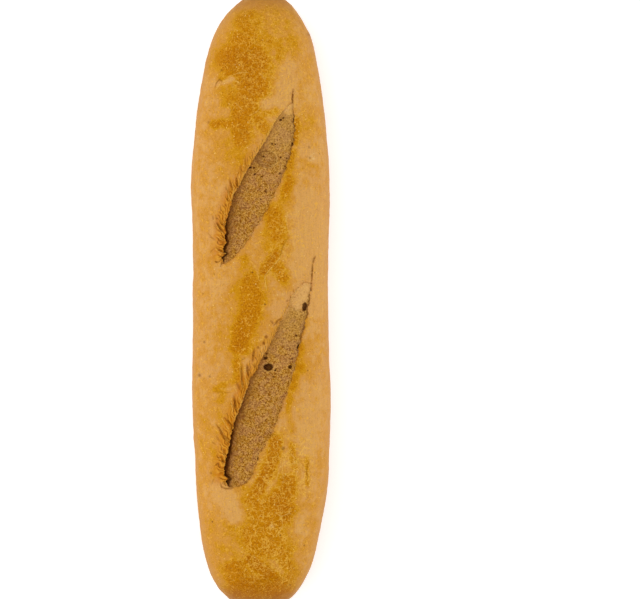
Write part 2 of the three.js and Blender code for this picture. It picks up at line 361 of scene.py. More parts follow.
def select_only(mesh, faces=None, points=None):
    """Select just the chosen faces or points of a mesh, ready for edit mode."""
    nothing = (np.zeros(len(mesh.vertices), bool), np.zeros(len(mesh.edges), bool))
    mesh.vertices.foreach_set("select", nothing[0] if points is None else points)
    mesh.edges.foreach_set("select", nothing[1])
    mesh.polygons.foreach_set("select", np.zeros(len(mesh.polygons), bool) if faces is None else faces)
    bpy.context.tool_settings.mesh_select_mode = (points is not None, False, points is None)


def halve(chosen):
    """Halve the chosen faces of the loaf."""
    select_only(dough, faces=chosen)
    bpy.ops.object.mode_set(mode="EDIT")
    bpy.ops.mesh.subdivide(number_cuts=1)
    bpy.ops.object.mode_set(mode="OBJECT")


# The mesh is made finer over both scores, and finer again along their lips and borders.
for finer in (False, True):
    x, y, z = centres_of(dough).T
    chosen = np.zeros(len(x), bool)
    for rows, flap in SCORES:
        lip, border, depth = score_at(rows)(y)
        reach = curve_through(flap)(y)[0]
        nearby = (z > CROWN_FROM) & (y > rows[0][0] - TEAR_MARGIN) & (y < rows[-1][0] + TEAR_MARGIN)
        over = (x > lip - reach - 1) & (x < border + TEAR_MARGIN)
        if finer:
            over = (x > lip - LIP_MARGIN) & (x < lip + GAP_MARGIN) | (np.abs(x - border) < BORDER_MARGIN)
        chosen |= nearby & over
    halve(chosen)
    spots = spots_of(dough)
    crown = spots[:, 2] > CROWN_FROM
    spots[crown, 2] = crust_height(spots[crown, 0], spots[crown, 1])
    put_spots(dough, spots)


def snap_to(score, side):
    """Bring a point of every row of the crown onto a score's lip (0) or border (1), and name them."""
    spots = spots_of(dough)
    rows = np.round(spots[:, 1], 3)
    line = score_at(score)
    close = np.abs(spots[:, 0] - line(spots[:, 1])[side]) < SNAP_REACH
    close &= (spots[:, 2] > CROWN_FROM) & (rows >= score[0][0]) & (rows <= score[-1][0])
    snapped = []
    for row in np.unique(rows[close]):
        candidates = np.flatnonzero(close & (rows == row))
        target = float(line(row)[side])
        nearest = candidates[np.argmin(np.abs(spots[candidates, 0] - target))]
        spots[nearest, 0] = target
        spots[nearest, 2] = crust_height(np.array([target]), np.array([row]))[0]
        snapped.append(nearest)
    put_spots(dough, spots)
    return snapped


# One edge of the mesh is made to run along each lip and each border.
edge_points = []
for rows, _ in SCORES:
    for side in (0, 1):
        edge_points += snap_to(rows, side)
chosen = np.zeros(len(dough.vertices), bool)
chosen[edge_points] = True
select_only(dough, points=chosen)
bpy.ops.object.mode_set(mode="EDIT")
bpy.ops.mesh.vert_connect()
bpy.ops.object.mode_set(mode="OBJECT")

# What lies between lip and border is pushed in twice: through the crust, and down to the crumb.
x, y, z = centres_of(dough).T
torn_faces = np.zeros(len(x), bool)
for rows, _ in SCORES:
    lip, border, depth = score_at(rows)(y)
    inside = (x > lip) & (x < border) & (border - lip > NARROWEST_TEAR) & (z > CROWN_FROM)
    torn_faces |= inside & (y > rows[0][0]) & (y < rows[-1][0])
select_only(dough, faces=torn_faces)
bpy.ops.object.mode_set(mode="EDIT")
for push in (CRUST_THICKNESS, CRUST_THICKNESS):
    bpy.ops.mesh.extrude_region_move(TRANSFORM_OT_translate={"value": (0, 0, -push * MM)})
bpy.ops.object.mode_set(mode="OBJECT")

spots = spots_of(dough)
x, y, z = spots.T
pushed = np.where(z > CROWN_FROM, crust_height(x, y) - z, 0)
on_wall = np.abs(pushed - CRUST_THICKNESS) < 0.1
on_floor = np.abs(pushed - 2 * CRUST_THICKNESS) < 0.1

for rows, flap in SCORES:
    lip, border, depth = score_at(rows)(y)
    reach, lift, mouth, gape = curve_through(flap)(y)
    foot, head = rows[0][0], rows[-1][0]
    nearby = (y > foot - TEAR_MARGIN) & (y < head + HEAD_MARGIN) & (z > CROWN_FROM)
    gap = lip - x

    # The flap lifts towards its lip.
    on_flap = nearby & ~on_wall & ~on_floor & (gap > -0.01)
    profile = np.where(gap < reach, FLAP_PROFILE(gap / reach)[0], 0)
    z = np.where(on_flap, z + lift * profile, z)

    # A tear deepens from both of its ends, and at its foot sooner by the lip than by the border.
    across = np.clip((border - x) / np.maximum(border - lip, 0.3), 0, 1)
    from_foot = smooth(y - foot, -END_REACH, FOOT_EASE + BORDER_EASE * (1 - across))
    from_head = smooth(head - y, -END_REACH, HEAD_EASE)

    # The edge of the crust hangs under the lip, and hardly shows at the border.
    left_side = np.abs(gap) < np.abs(x - border)
    thickness = np.minimum(CRUST_THICKNESS, 0.5 * depth * from_foot * from_head)
    edge = crust_height(x, y) + np.where(left_side, LIP_LIFT * lift - thickness, -0.5 * BORDER_STEP)
    z = np.where(nearby & on_wall, edge, z)
    x = np.where(nearby & on_wall & left_side, x - UNDERCUT * np.minimum(1, lift), x)

    # The torn floor falls slowly from the border, then steeply into the gap under the flap.
    slope = (1 - gape) * across**FLOOR_CURVE + gape * smooth(gap / mouth, -1, 0)
    fall = BORDER_STEP + np.maximum(depth * from_foot - BORDER_STEP, 0) * slope * from_head
    tucked = np.clip(1 + gap / OVERHANG_REACH, 0, 1) ** 2
    under = x - OVERHANG * np.minimum(1, lift) * tucked
    inside = nearby & on_floor
    x = np.where(inside, under, x)
    z = np.where(inside, crust_height(under, y) - fall, z)
put_spots(dough, np.column_stack([x, y, z]))


def stain(name, values):
    """Keep a value from 0 to 1 at every point of the loaf, which its material reads."""
    layer = dough.attributes.get(name) or dough.attributes.new(name, "FLOAT", "POINT")
    layer.data.foreach_set("value", values.astype(np.float32))


def stained(name):
    """The values kept under a name."""
    values = np.empty(len(dough.vertices), np.float32)
    dough.attributes[name].data.foreach_get("value", values)
    return values.astype(float)


stain("torn", np.where(on_floor, 1, np.where(on_wall, 0.5, 0)))

# --- The crumb --------------------------------------------------------------------------------
# Where the oven tore the dough, it dried to a rough brown crumb of small burst cells. A few
# larger gas bubbles were cut through, and stay as pores, darkened inside with painted shade; one
# closed over as a round blister.

# Each pore: x, y, half width, half length, depth, and how far it is turned to the left in degrees.
PORES = [
    (19.1, -2.8, 0.95, 2.0, 2.6, -8),
    (3.5, -28.8, 2.1, 1.4, 3.4, 0),
    (2.3, -24.9, 0.9, 0.45, 1.3, 32),
    (2.8, -23.1, 0.44, 0.4, 0.7, 0),
    (12.9, -28.8, 0.7, 0.65, 1.2, 0),
    (15.6, -15.2, 0.36, 0.36, 0.6, 0),
    (16.6, -19.9, 0.5, 0.9, 1.0, -10),
    (13.7, -25.3, 0.32, 0.32, 0.6, 0),
    (6.5, -30.2, 0.36, 0.32, 0.6, 0),
    (5.6, -33.0, 0.36, 0.36, 0.6, 0),
    (-0.7, -68.2, 0.5, 0.8, 0.9, -20),
    (8.8, 77.7, 0.44, 0.36, 0.7, 0),
    (10.0, 78.5, 0.32, 0.32, 0.6, 0),
    (14.6, 77.2, 0.4, 1.1, 0.7, 0),
    (13.8, 67.1, 0.4, 0.8, 0.7, -8),
    (8.8, 61.5, 0.36, 0.32, 0.6, 0),
    (11.5, 61.1, 0.36, 0.32, 0.6, 0),
    (6.5, 67.1, 0.32, 0.32, 0.6, 0),
    (5.2, 67.4, 0.32, 0.32, 0.6, 0),
    (-2.7, 57.1, 0.36, 0.36, 0.6, 0),
    (-4.2, 57.1, 0.36, 0.36, 0.6, 0),
    (-2.3, 54.2, 0.4, 0.4, 0.6, 0),
    (0.9, 53.2, 0.32, 0.32, 0.5, 0),
    (8.6, 54.6, 0.32, 0.32, 0.5, 0),
    (10.7, 57.6, 0.32, 0.32, 0.5, 0),
    (2.4, 46.9, 0.36, 0.32, 0.6, 0),
    (0.2, 43.5, 0.36, 0.32, 0.6, 0),
    (1.4, 61.9, 0.44, 0.32, 0.6, 0),
]
PORE_WALL = 0.55
PORE_RIM = 0.15
RIM_WIDTH = 0.2
PORE_PAINTED_SHADE = 0.8
PORE_PAINTED_HIGHLIGHT = 0.35
DEEP_PORE = 3
BLISTER = (2.7, 60.7, 4.2, 3.6)
BLISTER_DEPTH = 0.6
BLISTER_RIM = 0.35
EDGE_PAINTED_SHADE = 0.55
EDGE_SHADE = 0.55
HEAD_PALENESS = 0.3
SLICK_WIDTH = 2.4
SLICK_LEAST = 0.75
GAPING = 0.35
BY_PORE = 0.5
FINEST_FACE = 0.3
CRUMB_GRAIN = 0.8
CRUMB_HEIGHT = 1.2

# How far below the head of a score the painted shade and the paleness of its floor begin and are full.
SHADE_FROM = 42
SHADE_FULL = 25
PALE_FROM = 38
PALE_FULL = 12


def refine(near):
    """Halve the faces near small features until they are small enough to shape them."""
    for _ in range(2):
        area = np.empty(len(dough.polygons), np.float32)
        dough.polygons.foreach_get("area", area)
        x, y, z = centres_of(dough).T
        halve(near(x, y) & (z > SKIN_FROM) & (np.sqrt(area) > FINEST_FACE * MM))


def round_spot(x, y, spot_x, spot_y, half_width, half_length, turn=0):
    """How far points are from the middle of an oval: 0 there, and 1 on its edge."""
    lean = math.radians(turn)
    across = (x - spot_x) * math.cos(lean) + (y - spot_y) * math.sin(lean)
    along = (y - spot_y) * math.cos(lean) - (x - spot_x) * math.sin(lean)
    return np.hypot(across / half_width, along / half_length)


def near_pores(x, y):
    """Which points are on or by a pore."""
    nearby = np.zeros(len(x), bool)
    for pore_x, pore_y, half_width, half_length, _, _ in PORES:
        nearby |= np.hypot(x - pore_x, y - pore_y) < max(half_width, half_length) + BY_PORE
    return nearby


def roughen(name, grain, height, zone, middle):
    """Give a zone of the loaf a relief of soft lumps: their size and height in millimetres."""
    lumps = bpy.data.textures.new(name, "CLOUDS")
    lumps.noise_scale = grain * MM
    lumps.noise_depth = 2
    group = loaf.vertex_groups.new(name=name)
    for level in range(1, 11):
        within = (zone > (level - 0.5) / 10) & (zone <= (level + 0.5) / 10)
        group.add(np.flatnonzero(within).tolist(), level / 10, "REPLACE")
    relief = loaf.modifiers.new(name, "DISPLACE")
    relief.texture = lumps
    relief.texture_coords = "LOCAL"
    relief.strength = height * MM
    relief.mid_level = middle
    relief.vertex_group = name
    bpy.ops.object.modifier_apply(modifier=name)
    loaf.vertex_groups.remove(loaf.vertex_groups[name])


refine(near_pores)
x, y, z = spots_of(dough).T
crumb = stained("torn") > 0.95
painted_shade_and_dark_specks = np.zeros(len(x))
flour = np.zeros(len(x))

# A pore is a steep pit with a low rim. It is darkened inside with painted shade, and the crumb
# just outside it is paler with a painted highlight.
for pore_x, pore_y, half_width, half_length, depth, turn in PORES:
    away = round_spot(x, y, pore_x, pore_y, half_width, half_length, turn)
    pit = crumb & (away < 2)
    z = np.where(pit, z - depth * smooth(1 - away, 0, PORE_WALL), z)
    z = np.where(pit, z + PORE_RIM * hump(away, 1.2, RIM_WIDTH), z)
    dark = PORE_PAINTED_SHADE * smooth(1.12 - away, 0, 0.3)
    pale = PORE_PAINTED_HIGHLIGHT * depth / DEEP_PORE * hump(away, 1.3, RIM_WIDTH)
    painted_shade_and_dark_specks = np.where(pit, np.maximum(painted_shade_and_dark_specks, dark), painted_shade_and_dark_specks)
    flour = np.where(pit, np.maximum(flour, pale), flour)

# The blister is a shallow dish with a raised rim round it, a groove inside that, and a fainter ring
# further in. Painted shade darkens the groove, the inner ring and the left half, and a painted
# highlight makes the rim pale, palest on the right.
away = round_spot(x, y, *BLISTER)
round_about = crumb & (away < 2)
facing_right = smooth((x - BLISTER[0]) / BLISTER[2], 0, 0.8)
facing_left = smooth((BLISTER[0] - x) / BLISTER[2], 0.2, 0.8)
rim, groove, inner_ring = hump(away, 1.08, 0.08), hump(away, 0.92, 0.07), hump(away, 0.72, 0.07)
z = np.where(round_about, z - BLISTER_DEPTH * smooth(1 - away, 0, 0.5) + BLISTER_RIM * rim, z)
shade = np.maximum(groove * (0.45 + 0.3 * facing_left), 0.35 * inner_ring)
shade = np.maximum(shade, (0.12 + 0.25 * facing_left) * (away < 0.9))
painted_shade_and_dark_specks = np.where(round_about, np.maximum(painted_shade_and_dark_specks, shade), painted_shade_and_dark_specks)
pale = 0.8 * rim * (0.3 + 0.7 * facing_right)
flour = np.where(round_about, np.maximum(flour, pale), flour)

# The torn floor is darkened with painted shade right under the edge of the crust at its border,
# near the head of each score, and it is smoothly drawn out along the lip, which it tore from last;
# where the gap under the flap opens, that band by the lip is stronger and carries painted shade.
# Towards the head it is paler.
slick = np.zeros(len(x))
for rows, flap in SCORES:
    lip, border, depth = score_at(rows)(y)
    head = rows[-1][0]
    under_edge = EDGE_PAINTED_SHADE * hump(border, x, EDGE_SHADE)
    under_edge *= smooth(y, head - SHADE_FROM, head - SHADE_FULL) * smooth(-y, -head - 1, 2 - head)
    painted_shade_and_dark_specks = np.where(crumb, np.maximum(painted_shade_and_dark_specks, under_edge), painted_shade_and_dark_specks)
    paler = HEAD_PALENESS * smooth(y, head - PALE_FROM, head - PALE_FULL) * (y < head + 1)
    flour = np.where(crumb, np.maximum(flour, paler), flour)
    gape = curve_through(flap)(y)[3]
    drawn = (SLICK_LEAST + (1 - SLICK_LEAST) * smooth(gape, 0, GAPING)) * hump(x, lip, SLICK_WIDTH)
    slick = np.maximum(slick, np.where(crumb, drawn, 0))
put_spots(dough, np.column_stack([x, y, z]))
stain("slick", slick)
stain("painted_shade_and_dark_specks", painted_shade_and_dark_specks)
stain("flour", flour)
roughen("burst cells", CRUMB_GRAIN, CRUMB_HEIGHT, stained("torn") > 0.95, 0.5)

# --- The pleats and creases -------------------------------------------------------------------
# As a flap of crust curls back it is gathered into pleats, which fan out from the foot of its
# score. The skin also cracks where a score ends, and wrinkles where the crown has stretched.

# Each crease: how far to either side it reaches, its depth, how dark the painted shade in it is, and its
# line.
CREASES = [
    # The upper flap, from its head to its foot.
    (0.32, 0.35, 0.5, [(-6.5, 62.2), (-6.4, 60.2), (-6.1, 57.7), (-6.8, 54.8)]),
    (0.32, 0.4, 0.55, [(-8.3, 58.8), (-8.3, 57.1), (-7.9, 54.2)]),
    (0.32, 0.6, 0.99, [(-10.3, 53.3), (-10.0, 51.1), (-9.9, 49.5), (-9.3, 48.1)]),
    (0.36, 0.55, 0.88, [(-13.3, 52.3), (-12.6, 49.9), (-12.2, 48.1), (-12.6, 46.2)]),
    (0.32, 0.4, 0.61, [(-14.8, 50.0), (-14.8, 48.3), (-13.7, 46.8), (-13.1, 44.6)]),
    (0.32, 0.4, 0.72, [(-14.1, 44.5), (-14.2, 42.1)]),
    (0.25, 0.25, 0.5, [(-16.0, 38.9), (-16.1, 37.3)]),
    (0.25, 0.25, 0.44, [(-17.3, 38.8), (-17.3, 37.1)]),
    (0.29, 0.3, 0.5, [(-20.7, 36.8), (-20.5, 34.6)]),
    (0.29, 0.3, 0.44, [(-19.4, 36.5), (-18.7, 34.4)]),
    (0.25, 0.4, 0.66, [(-17.6, 34.6), (-16.8, 33.2), (-15.8, 31.6)]),
    (0.32, 0.65, 0.99, [(-19.1, 33.8), (-17.8, 31.8), (-16.9, 30.2), (-15.6, 28.6)]),
    (0.29, 0.3, 0.44, [(-20.2, 33.3), (-18.6, 31.2)]),
    (0.32, 0.3, 0.5, [(-22.8, 29.2), (-21.3, 27.0), (-19.6, 26.0)]),
    (0.29, 0.45, 0.77, [(-18.6, 26.4), (-16.8, 25.2), (-14.8, 24.9)]),
    (0.25, 0.3, 0.5, [(-17.9, 28.4), (-16.6, 27.4), (-15.4, 27.0)]),
    (0.29, 0.5, 0.94, [(-19.7, 22.9), (-17.5, 21.7), (-15.8, 20.9), (-14.7, 20.8)]),
    (0.25, 0.4, 0.77, [(-17.3, 19.3), (-15.0, 19.4)]),
    (0.22, 0.15, 0.39, [(-22.6, 19.6), (-21.3, 21.2), (-19.6, 23.0)]),
    # The torn corner at its foot.
    (0.25, 0.35, 0.99, [(-19.9, 16.8), (-19.0, 16.4), (-18.2, 16.5)]),
    (0.22, 0.3, 0.88, [(-17.5, 14.3), (-16.4, 16.3), (-15.5, 17.0)]),
    (0.22, 0.3, 0.83, [(-18.1, 18.1), (-17.0, 19.0)]),
    (0.22, 0.3, 0.88, [(-17.2, 16.8), (-15.9, 17.1)]),
    (0.22, 0.35, 0.99, [(-16.6, 18.7), (-16.0, 17.8)]),
    # The lower flap, from its head to its foot.
    (0.29, 0.35, 0.77, [(9.9, -7.5), (7.8, -8.7), (5.5, -11.3)]),
    (0.25, 0.3, 0.66, [(4.6, -8.7), (5.8, -10.4)]),
    (0.32, 0.6, 0.88, [(-2.4, -20.7), (-2.9, -23.5), (-3.3, -26.8)]),
    (0.29, 0.4, 0.66, [(-2.7, -26.6), (-2.2, -28.5), (-1.2, -30.2)]),
    (0.32, 0.6, 0.94, [(-5.6, -27.3), (-5.4, -30.0), (-4.7, -33.5)]),
    (
        0.32,
        0.5,
        0.72,
        [(-7.9, -26.9), (-8.1, -29.6), (-7.9, -32.4), (-7.9, -35.3), (-7.4, -37.2), (-6.6, -39.4)],
    ),
    (0.25, 0.25, 0.61, [(-8.1, -25.8), (-6.5, -24.8)]),
    (0.29, 0.4, 0.61, [(-10.6, -35.0), (-9.0, -37.7), (-8.1, -39.9)]),
    (0.32, 0.6, 0.94, [(-11.6, -40.9), (-11.0, -43.2), (-10.9, -45.8), (-9.5, -48.8)]),
    (0.29, 0.35, 0.5, [(-9.6, -42.5), (-9.2, -45.0), (-8.9, -47.0)]),
    (0.32, 0.6, 0.94, [(-15.8, -50.2), (-14.3, -51.8), (-13.1, -52.9), (-11.7, -56.0)]),
    (0.32, 0.6, 0.88, [(-19.6, -53.2), (-17.7, -55.2), (-16.4, -57.9), (-14.8, -60.4), (-13.3, -62.5)]),
    (0.25, 0.35, 0.61, [(-15.8, -57.7), (-14.4, -59.2), (-13.0, -60.6)]),
    (0.29, 0.3, 0.5, [(-19.3, -58.6), (-17.6, -60.8)]),
    (0.29, 0.25, 0.39, [(-21.7, -60.8), (-19.4, -62.4)]),
    (0.29, 0.35, 0.5, [(-19.2, -66.6), (-17.4, -69.5)]),
    (0.29, 0.5, 0.94, [(-16.9, -68.3), (-15.1, -70.0)]),
    (0.25, 0.35, 0.66, [(-16.5, -65.0), (-14.7, -66.8)]),
    (0.29, 0.3, 0.5, [(-19.5, -71.1), (-17.6, -71.9), (-15.6, -72.3)]),
    (0.29, 0.3, 0.55, [(-18.2, -73.8), (-15.5, -74.5)]),
    (0.25, 0.2, 0.39, [(-19.9, -76.4), (-21.5, -80.0)]),
    (0.25, 0.45, 0.99, [(-14.7, -78.0), (-13.9, -78.9), (-13.7, -80.3)]),
    (0.25, 0.3, 0.8, [(-17.5, -78.7), (-16.9, -80.6), (-15.0, -81.4), (-12.8, -81.5), (-11.4, -80.8)]),
    (0.22, 0.25, 0.7, [(-15.9, -77.9), (-15.3, -79.4), (-13.5, -80.0)]),
    (0.22, 0.15, 0.35, [(-20.3, -39.3), (-16.4, -39.8), (-12.6, -39.7)]),
    # The cracks that run on past the heads of both scores.
    (0.22, 0.6, 0.94, [(14.3, 91.4), (14.1, 89.6), (14.0, 86.7), (14.0, 84.4)]),
    (0.18, 0.5, 0.65, [(24.2, 19.2), (23.4, 18.0), (22.9, 15.9)]),
    (0.2, 0.6, 0.8, [(22.9, 15.9), (22.5, 12.7), (22.3, 10.2), (22.3, 7.5)]),
    (0.22, 0.35, 0.66, [(21.1, 7.6), (20.2, 5.9), (20.2, 3.3)]),
    (0.22, 0.25, 0.61, [(13.1, 0.6), (13.5, 1.9)]),
    (0.22, 0.25, 0.66, [(11.2, -0.6), (12.3, 0.0)]),
    (0.22, 0.2, 0.61, [(14.4, 3.2), (14.5, 4.7)]),
    # Hair cracks in the skin.
    (0.18, 0.2, 0.4, [(12.9, 27.6), (11.6, 26.0), (10.4, 24.4), (9.3, 21.3), (7.9, 17.5)]),
    (0.18, 0.18, 0.55, [(20.6, -70.2), (20.1, -73.9), (20.5, -76.5), (20.3, -78.9)]),
    (0.22, 0.25, 0.77, [(-19.9, 92.0), (-19.2, 94.0), (-17.8, 95.5), (-16.7, 94.9), (-16.8, 93.8)]),
]

# Each ridge: how far to either side it reaches, its height, how pale it is, and its line.
RIDGES = [
    (0.8, 0.35, 0.9, [(-19.4, 91.2), (-18.3, 92.7), (-17.3, 94.3)]),
    (0.9, 0.25, 0.6, [(-16.3, 94.6), (-13.5, 95.4), (-11.3, 95.2), (-9.1, 93.7)]),
    (0.6, 0.25, 0.6, [(-14.0, 96.5), (-11.3, 97.6), (-7.9, 98.4), (-5.7, 98.4), (-3.7, 97.4)]),
    (0.5, 0.2, 0.6, [(-0.7, 98.4), (2.3, 95.2)]),
    (0.9, 0.3, 0.7, [(5.0, 89.2), (1.7, 86.5), (0.7, 83.9), (-1.3, 81.5), (-4.6, 79.6)]),
    (0.6, 0.2, 0.5, [(-11.3, 85.7), (-7.1, 81.5)]),
    (0.5, 0.2, 0.4, [(-14.3, 83.7), (-12.9, 82.1)]),
    (0.5, 0.25, 0.9, [(11.8, 38.0), (11.4, 34.7), (11.8, 31.6), (13.2, 28.3)]),
    (0.6, 0.35, 1, [(10.2, 21.3), (8.3, 17.7), (4.6, 13.6), (2.1, 10.7), (2.1, 8.5), (2.8, 4.9)]),
    (0.4, 0.15, 0.5, [(13.3, 25.2), (12.1, 22.5)]),
    (0.5, 0.15, 0.4, [(-3.9, 16.8), (-1.5, 13.3), (-0.4, 8.9)]),
    (0.35, 0.15, 0.3, [(-19.8, 6.3), (-20.1, 0.2), (-20.2, -7.6), (-19.9, -12.9), (-19.2, -17.2)]),
    (0.35, 0.15, 0.3, [(-19.4, 6.3), (-16.8, 7.2), (-13.3, 7.6)]),
    # A floury smear, and the twirls under the foot of the lower score.
    (0.6, 0.08, 0.3, [(-18.3, -38.1), (-12.6, -38.4)]),
    (0.5, 0.2, 0.8, [(6.5, -91.5), (9.2, -93.3), (12.4, -92.0), (13.2, -89.4)]),
    (0.4, 0.15, 0.6, [(9.2, -93.3), (9.8, -97.0), (8.2, -100.4)]),
    # The crests between the creases of the upper flap, and of the lower flap, made pale with painted
    # highlight.
    (0.35, 0.2, 0.6, [(-6.9, 60.8), (-7.3, 53.5), (-8.4, 49.9)]),
    (0.35, 0.2, 0.6, [(-9.1, 53.6), (-9.1, 51.4), (-8.6, 49.9)]),
    (0.4, 0.25, 0.8, [(-12.0, 50.2), (-11.6, 46.6), (-12.7, 42.9)]),
    (0.4, 0.2, 0.6, [(-14.9, 49.5), (-13.8, 45.9), (-13.5, 43.7)]),
    (0.45, 0.25, 0.5, [(-15.3, 39.3), (-15.7, 34.6), (-15.8, 30.6)]),
    (0.35, 0.25, 0.6, [(-20.4, 34.6), (-18.2, 31.3), (-16.0, 28.8)]),
    (0.35, 0.25, 0.6, [(-19.7, 28.1), (-17.1, 26.2), (-14.9, 25.5)]),
    (0.35, 0.25, 0.8, [(-19.7, 21.9), (-17.1, 20.4), (-14.6, 20.1)]),
    (0.4, 0.25, 0.7, [(-8.8, -26.5), (-8.7, -32.0), (-7.7, -37.2)]),
    (0.4, 0.25, 0.7, [(-6.7, -28.6), (-6.6, -33.0), (-5.9, -36.6)]),
    (0.35, 0.2, 0.6, [(-11.3, -36.8), (-10.1, -39.9), (-9.0, -42.7)]),
    (0.35, 0.2, 0.6, [(-12.9, -41.9), (-12.1, -46.7), (-11.3, -51.4)]),
    (0.35, 0.2, 0.6, [(-8.5, -41.9), (-8.3, -44.6), (-8.9, -46.9)]),
    (0.35, 0.25, 0.6, [(-16.8, -50.7), (-14.9, -54.0), (-12.9, -57.4)]),
    (0.35, 0.25, 0.6, [(-18.2, -53.0), (-16.6, -56.4), (-14.3, -60.6)]),
    (0.4, 0.25, 0.5, [(-16.8, -62.4), (-16.3, -65.9), (-15.2, -68.2)]),
    (0.35, 0.2, 0.5, [(-18.4, -67.3), (-16.9, -69.2), (-15.5, -71.0)]),
    # The web of wrinkles to the right of the foot of the lower score.
    (0.35, 0.12, 0.7, [(12.0, -64.9), (17.0, -70.0), (21.0, -74.9)]),
    (0.35, 0.12, 0.6, [(11.8, -64.9), (9.6, -71.9), (10.2, -78.4)]),
    (0.35, 0.12, 0.6, [(7.5, -65.6), (9.2, -71.0), (6.8, -77.7), (3.0, -82.0)]),
    (0.35, 0.12, 0.6, [(12.0, -70.9), (15.6, -70.2), (19.5, -72.4)]),
    (0.35, 0.12, 0.5, [(17.5, -70.9), (18.4, -75.6), (17.4, -80.4)]),
    # The crescent fold where the lower score ends.
    (0.5, 0.5, 0.5, [(-16.6, -78.6), (-16.0, -80.0), (-14.4, -80.7), (-12.2, -80.7)]),
    # The rim of the upper lip, where it hardly lifted.
    (0.5, 0.15, 0.9, [(-4.6, 57.9), (-2.3, 62.1), (1.4, 67.7), (4.3, 73.2), (6.7, 77.7), (9.5, 81.5)]),
    (0.4, 0.1, 0.7, [(-12.4, 43.0), (-11.1, 46.5), (-9.1, 49.5), (-6.9, 54.2), (-4.8, 57.6)]),
    # The rim of the lower lip.
    (0.4, 0.1, 0.7, [(-11.4, -52.5), (-10.0, -49.0), (-7.7, -43.6), (-5.5, -37.5), (-4.5, -33.7)]),
]
CREASE_REACH = 3
LINE_SPREAD = 1.35
SPECK_SPREAD = 1.1
BY_LINE = 0.3
SHOULDER = 0.4
LINE_FADE = 1.2
THIN_ENDS = 0.15
SPECK_STEEPNESS = 0.25
PLEAT_SPACING = 1.5
PLEAT_HEIGHT = 0.2
PLEAT_TURNS = 110
PLEAT_STRAIGHTENS = 0.17
PLEAT_WAVES = [(0.35, 0.8, 1.7, 0), (0.3, -1.6, 0.9, 1)]
HALVINGS = 14


def flap_share(rows, y):
    """1 along the flap of a score, falling to 0 round its foot and slowly towards its head."""
    foot, head = rows[0][0], rows[-1][0]
    return smooth(y, foot - 1, foot + 3) * smooth(-y, -head, 12 - head)


def pleats_over(rows, flap, x, y):
    """Which pleat of a flap each point is on, and 1 at the lip falling to 0 at the flap's reach."""
    foot, head = rows[0][0], rows[-1][0]
    low, high = np.full(len(x), foot - 4.0), np.full(len(x), head + 1.0)
    for _ in range(HALVINGS):
        start = (low + high) / 2
        lip = score_at(rows)(start)[0]
        along = np.clip((start - foot) / (head - foot), 0, 1)
        lean = np.radians(PLEAT_TURNS * np.exp(-along / PLEAT_STRAIGHTENS))
        short = start + (lip - x) / np.tan(lean) < y
        low, high = np.where(short, start, low), np.where(short, high, start)
    reach = curve_through(flap)(start)[0]
    fold = flap_share(rows, y) * np.clip(1 - np.hypot(lip - x, y - start) / reach, 0, 1)
    number = (start + waves_at(PLEAT_WAVES, x, y)) / PLEAT_SPACING
    return number, np.where(x < score_at(rows)(y)[0] + 0.05, fold, 0)


def pleats_at(x, y):
    """The same over both flaps."""
    upper, lower = (pleats_over(rows, flap, x, y) for rows, flap in SCORES)
    return np.where(upper[1] > lower[1], upper, lower)


# Each speck: x, y, radius, rise, how dark and how pale it is.
SPECKS = [
    (-15.0, 41.0, 0.45, -0.5, 0.95, 0),
    (10.0, -63.9, 0.7, -0.3, 0.75, 0),
    (-22.7, 77.0, 0.6, -0.2, 0.55, 0),
    (-17.0, 99.6, 0.5, -0.2, 0.6, 0),
    (-24.6, -18.1, 0.5, -0.2, 0.7, 0),
    (-22.0, -32.9, 0.5, -0.2, 0.6, 0),
    (-26.8, -32.5, 0.7, -0.3, 0.8, 0),
    (-21.6, -74.8, 0.5, -0.2, 0.6, 0),
    (21.4, 66.1, 0.5, -0.2, 0.5, 0),
    # The dark speck here is painted shade at the left of a small glossy blister, and the four pale specks
    # after it are painted highlights on it.
    (21.6, 61.5, 0.45, -0.1, 0.6, 0),
    (22.2, 62.2, 0.5, 0.3, 0, 1),
    (23.2, 61.3, 0.6, 0.35, 0, 1),
    (22.1, 60.3, 0.4, 0.3, 0, 0.9),
    (23.4, 63.4, 0.35, 0.2, 0, 0.8),
    (21.1, 115.8, 0.8, -0.5, 0.5, 0),
    (5.0, -97.4, 0.8, 0.3, 0, 0.6),
    (2.6, -15.8, 0.5, -0.4, 0.8, 0),
    (1.5, -18.5, 0.5, -0.4, 0.8, 0),
    (-0.9, -20.3, 0.45, -0.3, 0.7, 0),
    (0.2, -17.0, 0.8, 0.3, 0, 0.4),
    (0.6, -20.6, 0.8, 0.3, 0, 0.4),
    (1.2, -23.0, 0.8, 0.3, 0, 0.4),
]


def along_line(x, y, line):
    """How far points are from a line of straight runs, and the share of its length they are at."""
    corners = np.array(line, float)
    runs = np.diff(corners, axis=0)
    lengths = np.hypot(*runs.T)
    walked = np.concatenate([[0], np.cumsum(lengths)])
    nearest = np.full(len(x), np.inf)
    share = np.zeros(len(x))
    for (start_x, start_y), (run_x, run_y), length, before in zip(corners, runs, lengths, walked):
        along = np.clip(((x - start_x) * run_x + (y - start_y) * run_y) / length**2, 0, 1)
        far = np.hypot(x - start_x - along * run_x, y - start_y - along * run_y)
        share = np.where(far < nearest, (before + along * length) / walked[-1], share)
        nearest = np.minimum(nearest, far)
    return nearest, share


def close_to(line, x, y, among=True):
    """Which points may be near a short line, how far from it they are, and at what share of it."""
    middle_x, middle_y = np.mean(line, axis=0)
    span = max(math.dist(line[0], line[-1]), 2)
    close = np.flatnonzero(among & (np.hypot(x - middle_x, y - middle_y) < span + CREASE_REACH))
    far, share = along_line(x[close], y[close], line)
    return close, far, share


